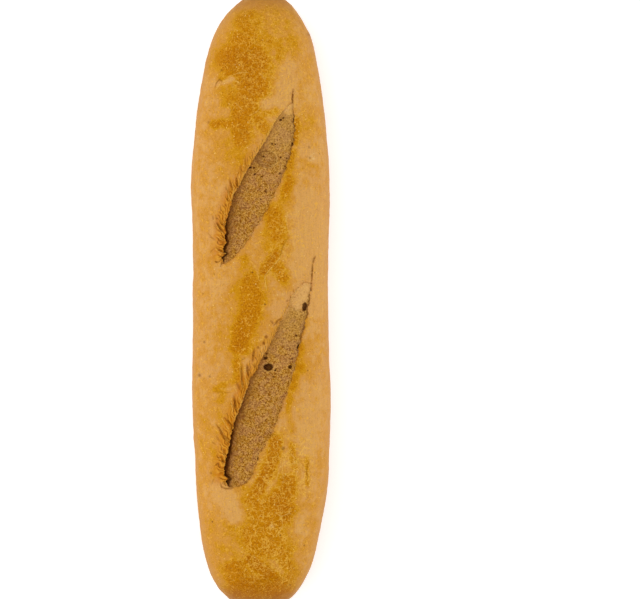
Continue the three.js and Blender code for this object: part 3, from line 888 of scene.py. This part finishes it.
def near_lines(x, y):
    """Which points are on or by a crease, a ridge or a speck."""
    nearby = np.zeros(len(x), bool)
    for width, _, _, line in CREASES + RIDGES:
        close, far, share = close_to(line, x, y)
        nearby[close] |= far < LINE_SPREAD * width + BY_LINE
    for spot_x, spot_y, radius, _, _, _ in SPECKS:
        nearby |= np.hypot(x - spot_x, y - spot_y) < SPECK_SPREAD * radius + BY_LINE
    return nearby


refine(near_lines)
x, y, z = spots_of(dough).T
skin = (z > SKIN_FROM) & (stained("torn") < 0.05)
pleat, fold = pleats_at(x, y)
fold = np.where(skin, fold, 0)
z += PLEAT_HEIGHT * np.abs(np.sin(math.pi * pleat)) * smooth(fold, 0, 0.5)
stain("pleat", pleat)
stain("fold", fold)
painted_shade_and_dark_specks, flour = stained("painted_shade_and_dark_specks"), stained("flour")
for name, lines, rise in (("crease", CREASES, -1), ("vein", RIDGES, 1)):
    nearness, tint = np.zeros(len(x)), np.zeros(len(x))
    for width, size, tone, line in lines:
        near, far, share = close_to(line, x, y, skin)
        taper = np.sqrt(np.sin(math.pi * np.clip(share, 0.03, 0.97)))
        body = hump(far, 0, width) * taper
        shoulder = SHOULDER * hump(far, 2 * width, width) * taper if rise < 0 else 0
        z[near] += size * (rise * body + shoulder)
        thin = np.clip(1 - far / LINE_FADE - THIN_ENDS * (1 - taper), 0, 1)
        tint[near] = np.where(thin > nearness[near], tone, tint[near])
        nearness[near] = np.maximum(nearness[near], thin)
    stain(name, nearness)
    stain(name + " tone", tint)
for spot_x, spot_y, radius, rise, dark, bright in SPECKS:
    below = SPECK_STEEPNESS * (z - crust_height(np.array([spot_x]), np.array([spot_y]))[0])
    spread = np.exp(-(((x - spot_x) ** 2 + (y - spot_y) ** 2 + below**2) / radius**2)) * skin
    z += rise * spread
    painted_shade_and_dark_specks = np.maximum(painted_shade_and_dark_specks, dark * spread)
    flour = np.maximum(flour, bright * spread)
put_spots(dough, np.column_stack([x, y, z]))
stain("painted_shade_and_dark_specks", painted_shade_and_dark_specks)
stain("flour", flour)

# --- The crust --------------------------------------------------------------------------------
# The skin of the loaf is thin and satiny. It baked to a deep amber where the dough stretched and
# thinned, and stayed a floury tan down its sides. It is finely blistered, and crazed in places.

# Each stroke of baking: half width, strength and line. Where it is negative the skin stayed pale.
BAKED_STROKES = [
    # The upper end.
    (8, 0.85, [(-11, 104), (-3, 103)]),
    (6, 0.6, [(-8, 112), (-6, 108)]),
    (6, 0.8, [(-5, 93), (-1, 92)]),
    (5, 0.75, [(-6, 88), (-4, 84)]),
    (4.5, 0.7, [(-8, 83), (-8, 70)]),
    (5, 0.45, [(-14, 91), (-12, 88)]),
    (1.8, 0.65, [(-20, 76), (-12, 76)]),
    (5, 0.4, [(-15, 108), (-14, 97)]),
    (6, 0.5, [(-6, 121), (-5, 115)]),
    (9, 0.24, [(0, 128), (8, 122)]),
    (3, 0.45, [(2, 113), (7, 110)]),
    (2.5, 0.5, [(8, 106), (9, 104)]),
    (3, 0.35, [(12, 112), (14, 108)]),
    (4, 0.3, [(4, 106), (4, 94)]),
    (4, 0.12, [(16, 108), (17, 96)]),
    (2.5, 0.6, [(-1, 78), (2, 74)]),
    (1.6, 0.5, [(2, 80), (7, 81.5)]),
    (6, 0.22, [(-13, 70), (-12, 58)]),
    (5, 0.3, [(-8, 68), (-10, 60)]),
    # Right of the upper score, and between both scores.
    (1.3, 0.6, [(15.6, 78), (15.4, 68)]),
    (1.6, 0.45, [(14.4, 64), (12.6, 56)]),
    (4, 0.25, [(20, 78), (19, 72)]),
    (1.2, 0.25, [(18, 60), (24, 58)]),
    (2.6, 0.65, [(12.5, 52), (11.5, 46)]),
    (3, 0.45, [(12, 44), (9, 40)]),
    (5, 0.6, [(6, 37), (8, 28)]),
    (3.5, 0.5, [(7, 27), (4, 24)]),
    (1.8, 0.9, [(7, 20), (1.5, 12.5)]),
    (3, 0.7, [(8, 14), (10, 10)]),
    (2, 0.35, [(-6, 18), (-8, 12)]),
    (5.5, 0.62, [(-4, 7), (-4, -5)]),
    (5, 0.7, [(-5, -6), (-7, -13)]),
    (4, 0.8, [(-8, -15), (-9, -20)]),
    (2, 0.5, [(-10, -23), (-10, -33)]),
    (1.6, 0.4, [(-11, -34.5), (-19, -38.5)]),
    (1.8, 0.35, [(-16, -40), (-17, -43)]),
    (1.5, 0.4, [(-7, -36), (-5, -38)]),
    (2, 0.25, [(-18, -14), (-15, -17)]),
    # Along the right border of the lower score, and down to the lower end.
    (1.2, 0.35, [(22, 1), (20, -6), (18.4, -14)]),
    (1.3, 0.5, [(20.4, -1), (19.8, -5)]),
    (2.6, 0.45, [(17, -20), (17, -29)]),
    (1.8, 0.45, [(15.4, -32), (13.9, -38)]),
    (1.5, 0.4, [(12.7, -40), (12.2, -48)]),
    (1.2, 0.3, [(12.6, -50), (13.6, -56)]),
    (2.6, 0.9, [(6.9, -61), (5.5, -68), (2, -76), (-1, -82)]),
    (2, 0.45, [(-2, -84), (-6, -89)]),
    (1.4, 0.5, [(13.5, -62), (14.5, -72)]),
    (3.5, 0.8, [(12, -78), (11.5, -84)]),
    (5, 0.9, [(8, -86), (11, -92)]),
    (7, 0.6, [(-3, -88), (5, -95)]),
    (1.8, 0.5, [(-15, -96), (-12.5, -98)]),
    (0.8, 0.4, [(20, -68), (20.3, -80)]),
    (9, 0.58, [(-1, -102), (5, -106)]),
    (2.5, 0.5, [(7, -103), (9, -106)]),
    (3, 0.9, [(-4, -112), (3, -118), (8, -124)]),
    (6, 0.7, [(-11, -117), (-9, -122)]),
    (4, 0.5, [(9, -110), (13, -118)]),
    (9, 1.0, [(-6, -127), (5, -128)]),
    (14, 0.2, [(-14, -58), (-10, -110)]),
    # The pale places.
    (4, -0.8, [(11.5, 100), (11, 88)]),
    (2.2, -0.7, [(1, 84), (8, 87)]),
    (3, -0.6, [(20, 67), (23, 62)]),
    (7, -0.8, [(21, 42), (22, 12), (23, 0)]),
    (3, -0.5, [(12, 3), (8, -4)]),
    (1.1, -0.6, [(-19, 93.5), (-15, 94.2), (-12, 95.6)]),
    (4.5, -0.9, [(-17, -82), (-12, -92)]),
    (2.5, -0.6, [(16, -94), (18, -99)]),
    (0.9, -0.3, [(5, -112.5), (7, -114.5), (9.5, -118)]),
    (5, -0.5, [(23, -40), (22, -60)]),
]
PALENESS = 0.3

# The parts of the skin that are crazed with pale lines.
CRAZED_STROKES = [
    (12, 0.7, [(6, -66), (4, -90), (2, -112)]),
    (5, 0.8, [(6, -96), (9, -108), (10, -120)]),
    (5, 0.9, [(17, -62), (18, -80)]),
    (16, 0.5, [(4, 118), (4, 96), (8, 76)]),
    (7, 0.5, [(12, 34), (7, 14)]),
]

# Where the floor of a tear has a skin again: at its head.
HEALED_STROKES = [
    (3, 0.8, [(13, 86), (12.5, 82.5)]),
    (3.5, 0.8, [(21.5, 10), (18, 3), (16.5, -1)]),
    (1.8, 0.6, [(13.5, 2), (9.5, -7)]),
]
UNEVEN_GRAIN = 11
UNEVEN_HEIGHT = 0.6
BLISTER_GRAIN = 2.6
BLISTER_HEIGHT = 0.35
HEALED_FLOUR = 0.2

# Neither relief reaches the sole, which the tray kept flat.
roughen("slow unevenness", UNEVEN_GRAIN, UNEVEN_HEIGHT, smooth(spots_of(dough)[:, 2], 1, 7), 1)
skin = (1 - stained("torn")) * smooth(spots_of(dough)[:, 2], 4, 12)
roughen("small blisters", BLISTER_GRAIN, BLISTER_HEIGHT, skin, 0.8)


def strokes_at(x, y, strokes):
    """How strongly soft-edged strokes cover each point."""
    total = np.zeros(len(x))
    for half_width, strength, line in strokes:
        cover = strength / (1 + (along_line(x, y, line)[0] / half_width) ** 4)
        total = np.maximum(total, cover) if strength > 0 else total * (1 + cover) + PALENESS * cover
    return total


# Heights over the tray between which the browning sets in, and between which the pale sides end.
BROWNED_FROM = 12
BROWNED_FULL = 26
SIDE_FULL = 16
SIDE_END = 31
# How far from its lip a lifted flap is fully darkened by the heat, and where that ends.
LIFTED_FULL = 2
LIFTED_END = 7

x, y, z = spots_of(dough).T
upper = smooth(z, BROWNED_FROM, BROWNED_FULL)
stain("baked", strokes_at(x, y, BAKED_STROKES) * upper)
stain("crazed", strokes_at(x, y, CRAZED_STROKES) * upper)
healed = strokes_at(x, y, HEALED_STROKES)
stain("flour", np.maximum(stained("flour"), HEALED_FLOUR * healed * (stained("torn") > 0.4)))
stain("torn", stained("torn") * (1 - healed))
lifted = np.zeros(len(x))
for rows, flap in SCORES:
    lip = score_at(rows)(y)[0]
    lift = curve_through(flap)(y)[1]
    by_lip = smooth(x - lip, -LIFTED_END, -LIFTED_FULL) * (x < lip + 1)
    lifted = np.maximum(lifted, flap_share(rows, y) * np.minimum(1, lift) * by_lip)
stain("lifted", lifted * upper)
# The lower sides are painted darker, a painted shade that holds them down under the glow of the table.
stain("side", 1 - smooth(z, SIDE_FULL, SIDE_END))

bpy.ops.object.shade_smooth_by_angle(angle=math.radians(75))


def paint(code):
    """A colour written as sRGB hex, as the linear numbers that a shader takes."""
    shares = [int(code[place : place + 2], 16) / 255 for place in (1, 3, 5)]
    linear = [s / 12.92 if s <= 0.04045 else ((s + 0.055) / 1.055) ** 2.4 for s in shares]
    return (*linear, 1)


def add(tree, kind, inputs, output=0, **settings):
    """Add a node with its settings, link or set its inputs, and give back one of its outputs."""
    node = tree.nodes.new("ShaderNode" + kind)
    for setting, value in settings.items():
        setattr(node, setting, value)
    for name, value in inputs.items():
        if isinstance(value, bpy.types.NodeSocket):
            tree.links.new(value, node.inputs[name])
        else:
            node.inputs[name].default_value = value
    return node.outputs[output]


# Baked wheat crust: a satin skin over matte crumb, which drinks the light and hardly shines.
crust = bpy.data.materials.new("baked wheat crust")
crust.use_nodes = True
tree = crust.node_tree
shader = tree.nodes["Principled BSDF"]
coords = add(tree, "TexCoord", {}, "Object")
place = add(tree, "VectorMath", {0: coords, "Scale": 1 / MM}, operation="SCALE")
value = {}
# What was stained into the points of the loaf: first the marks of its skin, then the others.
skin_marks = ("baked", "crazed", "lifted", "side", "pleat", "fold", "crease", "vein")
for name in (*skin_marks, "crease tone", "vein tone", "torn", "slick", "painted_shade_and_dark_specks", "flour"):
    value[name] = add(tree, "Attribute", {}, "Fac", attribute_name=name)

# Noise: slow drifts of tone, frayed patches, mottling, grit, burst cells, tinges that come and go,
# and four that only show as thin lines. Each has its size in millimetres and its detail.
for name, size, detail in (
    ("slow", 16, 2),
    ("patchy", 5, 5),
    ("mottled", 1.7, 3),
    ("grit", 0.55, 2),
    ("cells", 0.8, 1),
    ("tinges", 3.6, 2),
    ("wisps", 3.2, 3),
    ("hairs", 2.1, 1),
    ("ridges", 1.3, 1),
    ("furrows", 1.5, 1),
):
    inputs = {"Vector": place, "Scale": 1 / size, "Detail": detail, "Roughness": 0.6}
    value[name] = add(tree, "TexNoise", inputs)
value["length"] = add(tree, "SeparateXYZ", {0: place}, "Y")
value["height"] = add(tree, "SeparateXYZ", {0: place}, "Z")
# The skin is drawn out along the loaf into faint streaks.
drawn_out = add(tree, "VectorMath", {0: place, 1: (1, 0.14, 1)}, operation="MULTIPLY")
value["streaks"] = add(tree, "TexNoise", {"Vector": drawn_out, "Scale": 1 / 0.8, "Detail": 2})
# The pleats wander a little, and each has its own length and depth of painted shade, by a number drawn for
# it.
value["pleat"] = add(tree, "Math", {0: value["wisps"], 1: 0.8, 2: value["pleat"]}, operation="MULTIPLY_ADD")
number = add(tree, "Math", {0: value["pleat"]}, operation="ROUND")
value["pleat chance"] = add(tree, "TexWhiteNoise", {"W": number}, noise_dimensions="1D")
# Tiny blisters and burst pits lie about 2.6 and 5.5 mm apart; the net of crazing is 3.6 mm
# wide, and the cell walls of the crumb 1.9 mm.
for name, size in (("blisters", 2.6), ("pits", 5.5)):
    value[name] = add(tree, "TexVoronoi", {"Vector": place, "Scale": 1 / size}, feature="F1")
bent = add(tree, "TexNoise", {"Vector": place, "Scale": 1 / 4, "Detail": 2}, "Color")
bent = add(tree, "VectorMath", {0: bent, "Scale": 4}, operation="SCALE")
bent = add(tree, "VectorMath", {0: place, 1: bent}, operation="ADD")
for name, size in (("net", 3.6), ("walls", 1.9)):
    value[name] = add(tree, "TexVoronoi", {"Vector": bent, "Scale": 1 / size}, feature="DISTANCE_TO_EDGE")

# Thin wandering lines lie where a noise passes its middle value: how near it, and how strong.
for name, noise, near, end, strength in (
    ("wisp lines", "wisps", 0.006, 0.02, 1),
    ("hair lines", "hairs", 0.016, 0.03, 1),
    ("ridge lines", "ridges", 0.01, 0.05, 0.8),
    ("furrow lines", "furrows", 0.01, 0.05, 0.8),
):
    middle = add(tree, "Math", {0: value[noise], 1: 0.5}, operation="SUBTRACT")
    distance = add(tree, "Math", {0: middle}, operation="ABSOLUTE")
    inputs = {0: distance, 1: near, 2: end, 3: strength, 4: 0}
    value[name] = add(tree, "MapRange", inputs, interpolation_type="SMOOTHSTEP")

# Sums and products of these values, and the soft steps that turn a value into a mask.
ADD, TIMES, FADE = "MULTIPLY_ADD", "MULTIPLY", "MapRange"
for name, kind, *terms in (
    ("wide bake", ADD, "patchy", 1, "baked"),
    ("bake", ADD, "mottled", 0.5, "wide bake"),
    ("browned", FADE, "bake", 0.62, 0.88, 0, 1),
    ("golden", FADE, "bake", 0.88, 1.1, 0, 1),
    ("amber", FADE, "bake", 1.1, 1.28, 0, 1),
    ("deep", FADE, "bake", 1.36, 1.6, 0, 1),
    ("ruddy", FADE, "slow", 0.45, 0.75, 0, 0.35),
    ("pale streaks", FADE, "streaks", 0.5, 0.66, 0, 0.7),
    ("dark streaks", FADE, "streaks", 0.34, 0.48, 0.5, 0),
    ("yellow", FADE, "patchy", 0.5, 0.62, 0, 0.45),
    ("yellow amber", TIMES, "yellow", "golden"),
    ("dark grit", FADE, "grit", 0.34, 0.5, 0.8, 0),
    ("grit share", FADE, "bake", 0.8, 1.4, 0.3, 0.8),
    ("dark flecks", TIMES, "dark grit", "grit share"),
    ("pale grit", FADE, "grit", 0.56, 0.67, 0, 0.9),
    ("pale flecks", TIMES, "pale grit", "grit share"),
    ("blister tops", FADE, "blisters", 0.05, 0.13, 1, 0),
    ("blister groups", FADE, "mottled", 0.38, 0.5, 0, 1),
    ("blister dots", TIMES, "blister tops", "blister groups"),
    ("pit holes", FADE, "pits", 0.05, 0.11, 0.8, 0),
    ("pit groups", FADE, "patchy", 0.5, 0.62, 0, 1),
    ("pit dots", TIMES, "pit holes", "pit groups"),
    ("net lines", FADE, "net", 0.01, 0.036, 1, 0),
    ("net gaps", FADE, "tinges", 0.46, 0.54, 0, 1),
    ("broken net", TIMES, "net lines", "net gaps"),
    ("cracks", "MAXIMUM", "broken net", "wisp lines"),
    ("crazing", TIMES, "cracks", "crazed"),
    ("hair gaps", FADE, "mottled", 0.46, 0.56, 0, 1),
    ("pale hairs", TIMES, "hair lines", "hair gaps"),
    ("pleat middle", "PINGPONG", "pleat", 0.5),
    ("pleat edge", FADE, "pleat middle", 0.02, 0.14, 1, 0),
    ("pleat short", TIMES, "pleat chance", 0.5),
    ("pleat span", "SUBTRACT", "fold", "pleat short"),
    ("pleat length", FADE, "pleat span", 0, 0.15, 0, 1),
    ("pleat tone", ADD, "pleat chance", -0.5, 1.1),
    ("pleat frayed", FADE, "mottled", 0.35, 0.5, 0.65, 1),
    ("pleat kept", TIMES, "pleat edge", "pleat length"),
    ("pleat toned", TIMES, "pleat kept", "pleat tone"),
    ("pleat lines", TIMES, "pleat toned", "pleat frayed"),
    ("pleat rise", FADE, "pleat middle", 0.2, 0.45, 0, 1),
    ("pleat spread", FADE, "fold", 0.1, 0.5, 0, 1),
    ("pleat crests", TIMES, "pleat rise", "pleat spread"),
    # A painted highlight along the lip of each flap.
    ("rim", FADE, "fold", 0.88, 0.97, 0, 0.8),
    ("crease edge", FADE, "crease", 0.74, 0.93, 0, 1),
    ("crease frayed", FADE, "grit", 0.4, 0.56, 0.45, 1),
    ("crease body", TIMES, "crease edge", "crease tone"),
    ("crease lines", TIMES, "crease body", "crease frayed"),
    ("vein wander", ADD, "mottled", 0.7, "vein"),
    ("vein edge", FADE, "vein wander", 0.98, 1.18, 0, 1),
    ("vein body", TIMES, "vein edge", "vein tone"),
    ("vein frayed", FADE, "grit", 0.38, 0.54, 0.25, 1),
    ("vein lines", TIMES, "vein body", "vein frayed"),
    ("flour frayed", FADE, "grit", 0.35, 0.6, 0.5, 1),
    ("flour dust", TIMES, "flour", "flour frayed"),
    ("pink drift", FADE, "tinges", 0.5, 0.58, 0, 0.9),
    ("yellow drift", FADE, "tinges", 0.42, 0.5, 0.9, 0),
    ("dark drift", FADE, "patchy", 0.36, 0.48, 0.6, 0),
    ("dark cells", FADE, "grit", 0.4, 0.52, 1, 0),
    ("pale cells", FADE, "cells", 0.53, 0.62, 0, 0.8),
    ("cell walls", FADE, "walls", 0.03, 0.12, 0.55, 0),
    ("ragged tear", ADD, "mottled", 0.6, "torn"),
    ("crumb", FADE, "ragged tear", 0.55, 1.05, 0, 1),
    ("side tone", FADE, "patchy", 0.42, 0.6, 0.6, 0),
    ("side blotches", TIMES, "side tone", "side"),
    ("side dust", FADE, "patchy", 0.46, 0.66, 0, 1),
    ("side flour", TIMES, "side dust", "side"),
    ("tip distance", "ABSOLUTE", "length"),
    ("tips", FADE, "tip distance", 122, 135, 0, 0.8),
    # The innermost band along the lip, where the gap under the flap opens, is darkened as painted shade.
    ("gap brown", FADE, "slick", 0.8, 0.98, 0, 0.7),
    ("near tray", FADE, "height", 1, 9, 1, 0),
    ("tray tone", FADE, "mottled", 0.3, 0.6, 0.4, 1),
    ("tray brown", TIMES, "near tray", "tray tone"),
    ("roughness", FADE, "crumb", 0, 1, 0.5, 0.9),
    ("grain share", FADE, "crumb", 0, 1, 0.45, 1),
    ("grain", TIMES, "grain share", "grit"),
    ("blistered grain", ADD, "blister dots", 0.3, "grain"),
    ("veined grain", ADD, "vein lines", 0.5, "blistered grain"),
    ("raised", ADD, "pleat lines", -0.8, "veined grain"),
):
    inputs = {socket: value.get(term, term) for socket, term in enumerate(terms)}
    if kind == FADE:
        value[name] = add(tree, kind, inputs, interpolation_type="SMOOTHSTEP")
    else:
        value[name] = add(tree, "Math", inputs, operation=kind)

# Coats of colour, each laid over the last by its mask: the skin first, then the crumb.
SKIN_COATS = [
    ("ruddy", "#D28E48", 1),
    ("pale streaks", "#E4B060", 0.6),
    ("dark streaks", "#CA8E42", 0.5),
    ("browned", "#D69438", 1),
    ("golden", "#D29010", 1),
    ("amber", "#C67C00", 1),
    ("deep", "#BC7000", 1),
    ("yellow amber", "#CE9200", 0.5),
    ("dark flecks", "#985400", 1),
    ("pale flecks", "#E2A01C", 0.8),
    ("pale hairs", "#ECB040", 0.75),
    ("blister dots", "#F6D07C", 0.85),
    ("pit dots", "#7A4514", 1),
    ("crazing", "#F2BE50", 0.9),
    # Painted shade on both tips, which face away from the light.
    ("tips", "#AE6A30", 0.8),
    # Painted shade on the lower sides.
    ("side", "#BE8646", 0.6),
    ("side blotches", "#A8682C", 0.5),
    ("side flour", "#E0B47C", 0.35),
    ("tray brown", "#9C5A20", 0.7),
    ("lifted", "#C67404", 0.9),
    # Painted highlights on the crests of the pleats, and painted shade in the valleys between them.
    ("pleat crests", "#E2A234", 0.7),
    # Painted highlight along the lip.
    ("rim", "#DA9C3C", 0.8),
    ("pleat lines", "#885006", 0.9),
    # Pale veins and floury folds, and on the crests between the flaps' creases painted highlights.
    ("vein lines", "#F0BC5A", 0.8),
    # Painted shade in the creases.
    ("crease lines", "#884E06", 0.85),
    # Flour, and painted highlights on a small glossy blister.
    ("flour dust", "#F2D08A", 0.85),
    # Dark specks, and painted shade beside a small glossy blister.
    ("painted_shade_and_dark_specks", "#7A4008", 0.85),
]
CRUMB_COATS = [
    ("pink drift", "#BE8448", 0.75),
    ("yellow drift", "#B87C18", 0.8),
    ("cell walls", "#D29A48", 1),
    ("dark drift", "#9A6222", 0.8),
    ("dark cells", "#80480A", 1),
    ("pale cells", "#DEA650", 1),
    ("furrow lines", "#7E4A0A", 0.9),
    ("ridge lines", "#E0AC5A", 0.9),
    ("pink drift", "#BA8258", 0.2),
    ("yellow drift", "#B87E14", 0.2),
    ("slick", "#B67E3C", 0.6),
    # Painted shade in the gap under the flap.
    ("gap brown", "#743E00", 0.85),
    # Flour on the healed heads, paleness towards the heads, and painted highlights round the pores and on
    # the blister's rim.
    ("flour dust", "#E0B468", 0.8),
    # Painted shade inside the pores, in the blister's groove and under the crust's edge at the border.
    ("painted_shade_and_dark_specks", "#561C00", 0.9),
]
finish = []
for under, coats in (("#DEA45A", SKIN_COATS), ("#B87828", CRUMB_COATS)):
    colour = paint(under)
    for mask, code, share in coats:
        cover = add(tree, "Math", {0: value[mask], 1: share}, operation="MULTIPLY")
        inputs = {0: cover, 6: colour, 7: paint(code)}
        colour = add(tree, "Mix", inputs, 2, data_type="RGBA")
    finish.append(colour)
inputs = {0: value["crumb"], 6: finish[0], 7: finish[1]}
tree.links.new(add(tree, "Mix", inputs, 2, data_type="RGBA"), shader.inputs["Base Color"])
tree.links.new(value["roughness"], shader.inputs["Roughness"])
relief = add(tree, "Bump", {"Strength": 0.7, "Distance": 0.3 * MM, "Height": value["raised"]})
tree.links.new(relief, shader.inputs["Normal"])
shader.inputs["IOR"].default_value = 1.45
shader.inputs["Specular IOR Level"].default_value = 0.04

dough.materials.append(crust)
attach(loaf, "root")
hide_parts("loaf")

# --- The table, the light and the camera --------------------------------------------------------
# A pale table that glows a little, as the lit glass of a product table does, under a white dome
# that is dimmer overhead and beyond both ends of the loaf, and one large weak softbox. The camera
# looks straight down.

bpy.ops.object.select_all(action="DESELECT")
bpy.ops.mesh.primitive_plane_add(size=4)
table = bpy.context.object
table.name = "table"
glass = bpy.data.materials.new("lit opal glass")
glass.use_nodes = True
lit = glass.node_tree.nodes["Principled BSDF"]
lit.inputs["Base Color"].default_value = paint("#EDEDED")
lit.inputs["Roughness"].default_value = 0.8
lit.inputs["Emission Color"].default_value = (1, 1, 1, 1)
lit.inputs["Emission Strength"].default_value = 0.5
table.data.materials.append(glass)

world = bpy.data.worlds.new("soft studio")
bpy.context.scene.world = world
world.use_nodes = True
dome = world.node_tree
outward = add(dome, "TexCoord", {}, "Generated")
upward = add(dome, "SeparateXYZ", {0: outward}, "Z")
lengthwise = add(dome, "SeparateXYZ", {0: outward}, "Y")
lengthwise = add(dome, "Math", {0: lengthwise, 1: 2}, operation="POWER")
# The dome's brightness falls from 1.26 to 0.7 overhead, and from 1.1 to 0.1 of that at both ends.
overhead = {0: upward, 1: 0.5, 2: 0.97, 3: 1.26, 4: 0.7}
overhead = add(dome, "MapRange", overhead, interpolation_type="SMOOTHSTEP")
ends = {0: lengthwise, 1: 0.05, 2: 0.6, 3: 1.1, 4: 0.1}
ends = add(dome, "MapRange", ends, interpolation_type="SMOOTHSTEP")
strength = add(dome, "Math", {0: overhead, 1: ends}, operation="MULTIPLY")
dome.links.new(strength, dome.nodes["Background"].inputs["Strength"])
dome.nodes["Background"].inputs["Color"].default_value = (1, 1, 1, 1)
bpy.ops.object.light_add(type="AREA", location=(-0.3, 0.2, 1.3))
softbox = bpy.context.object
softbox.name = "softbox"
softbox.data.size = 1
softbox.data.energy = 4
softbox.rotation_euler = (math.radians(16), 0, math.radians(-124))

# The loaf's middle stands left of the middle of a frame of 640 by 599 pixels, counted from its
# upper left corner. A pixel covers 0.436 mm at the height of the loaf's widest line.
MM_PER_PIXEL = 0.436
FRAME_PIXELS = 640
LOAF_MIDDLE = (260.9, 300.2)
FRAME_MIDDLE = (320, 299.5)
LENS = 250
SENSOR = 36
camera_distance = MM_PER_PIXEL * FRAME_PIXELS * LENS / SENSOR
bpy.ops.object.camera_add(
    location=(
        (FRAME_MIDDLE[0] - LOAF_MIDDLE[0]) * MM_PER_PIXEL * MM,
        (LOAF_MIDDLE[1] - FRAME_MIDDLE[1]) * MM_PER_PIXEL * MM,
        (camera_distance + WAIST) * MM,
    ),
    rotation=(0, 0, 0),
)
camera = bpy.context.object
camera.data.lens = LENS
camera.data.sensor_width = SENSOR
camera.data.clip_end = 20
bpy.context.scene.camera = camera
bpy.context.scene.view_settings.view_transform = "Standard"
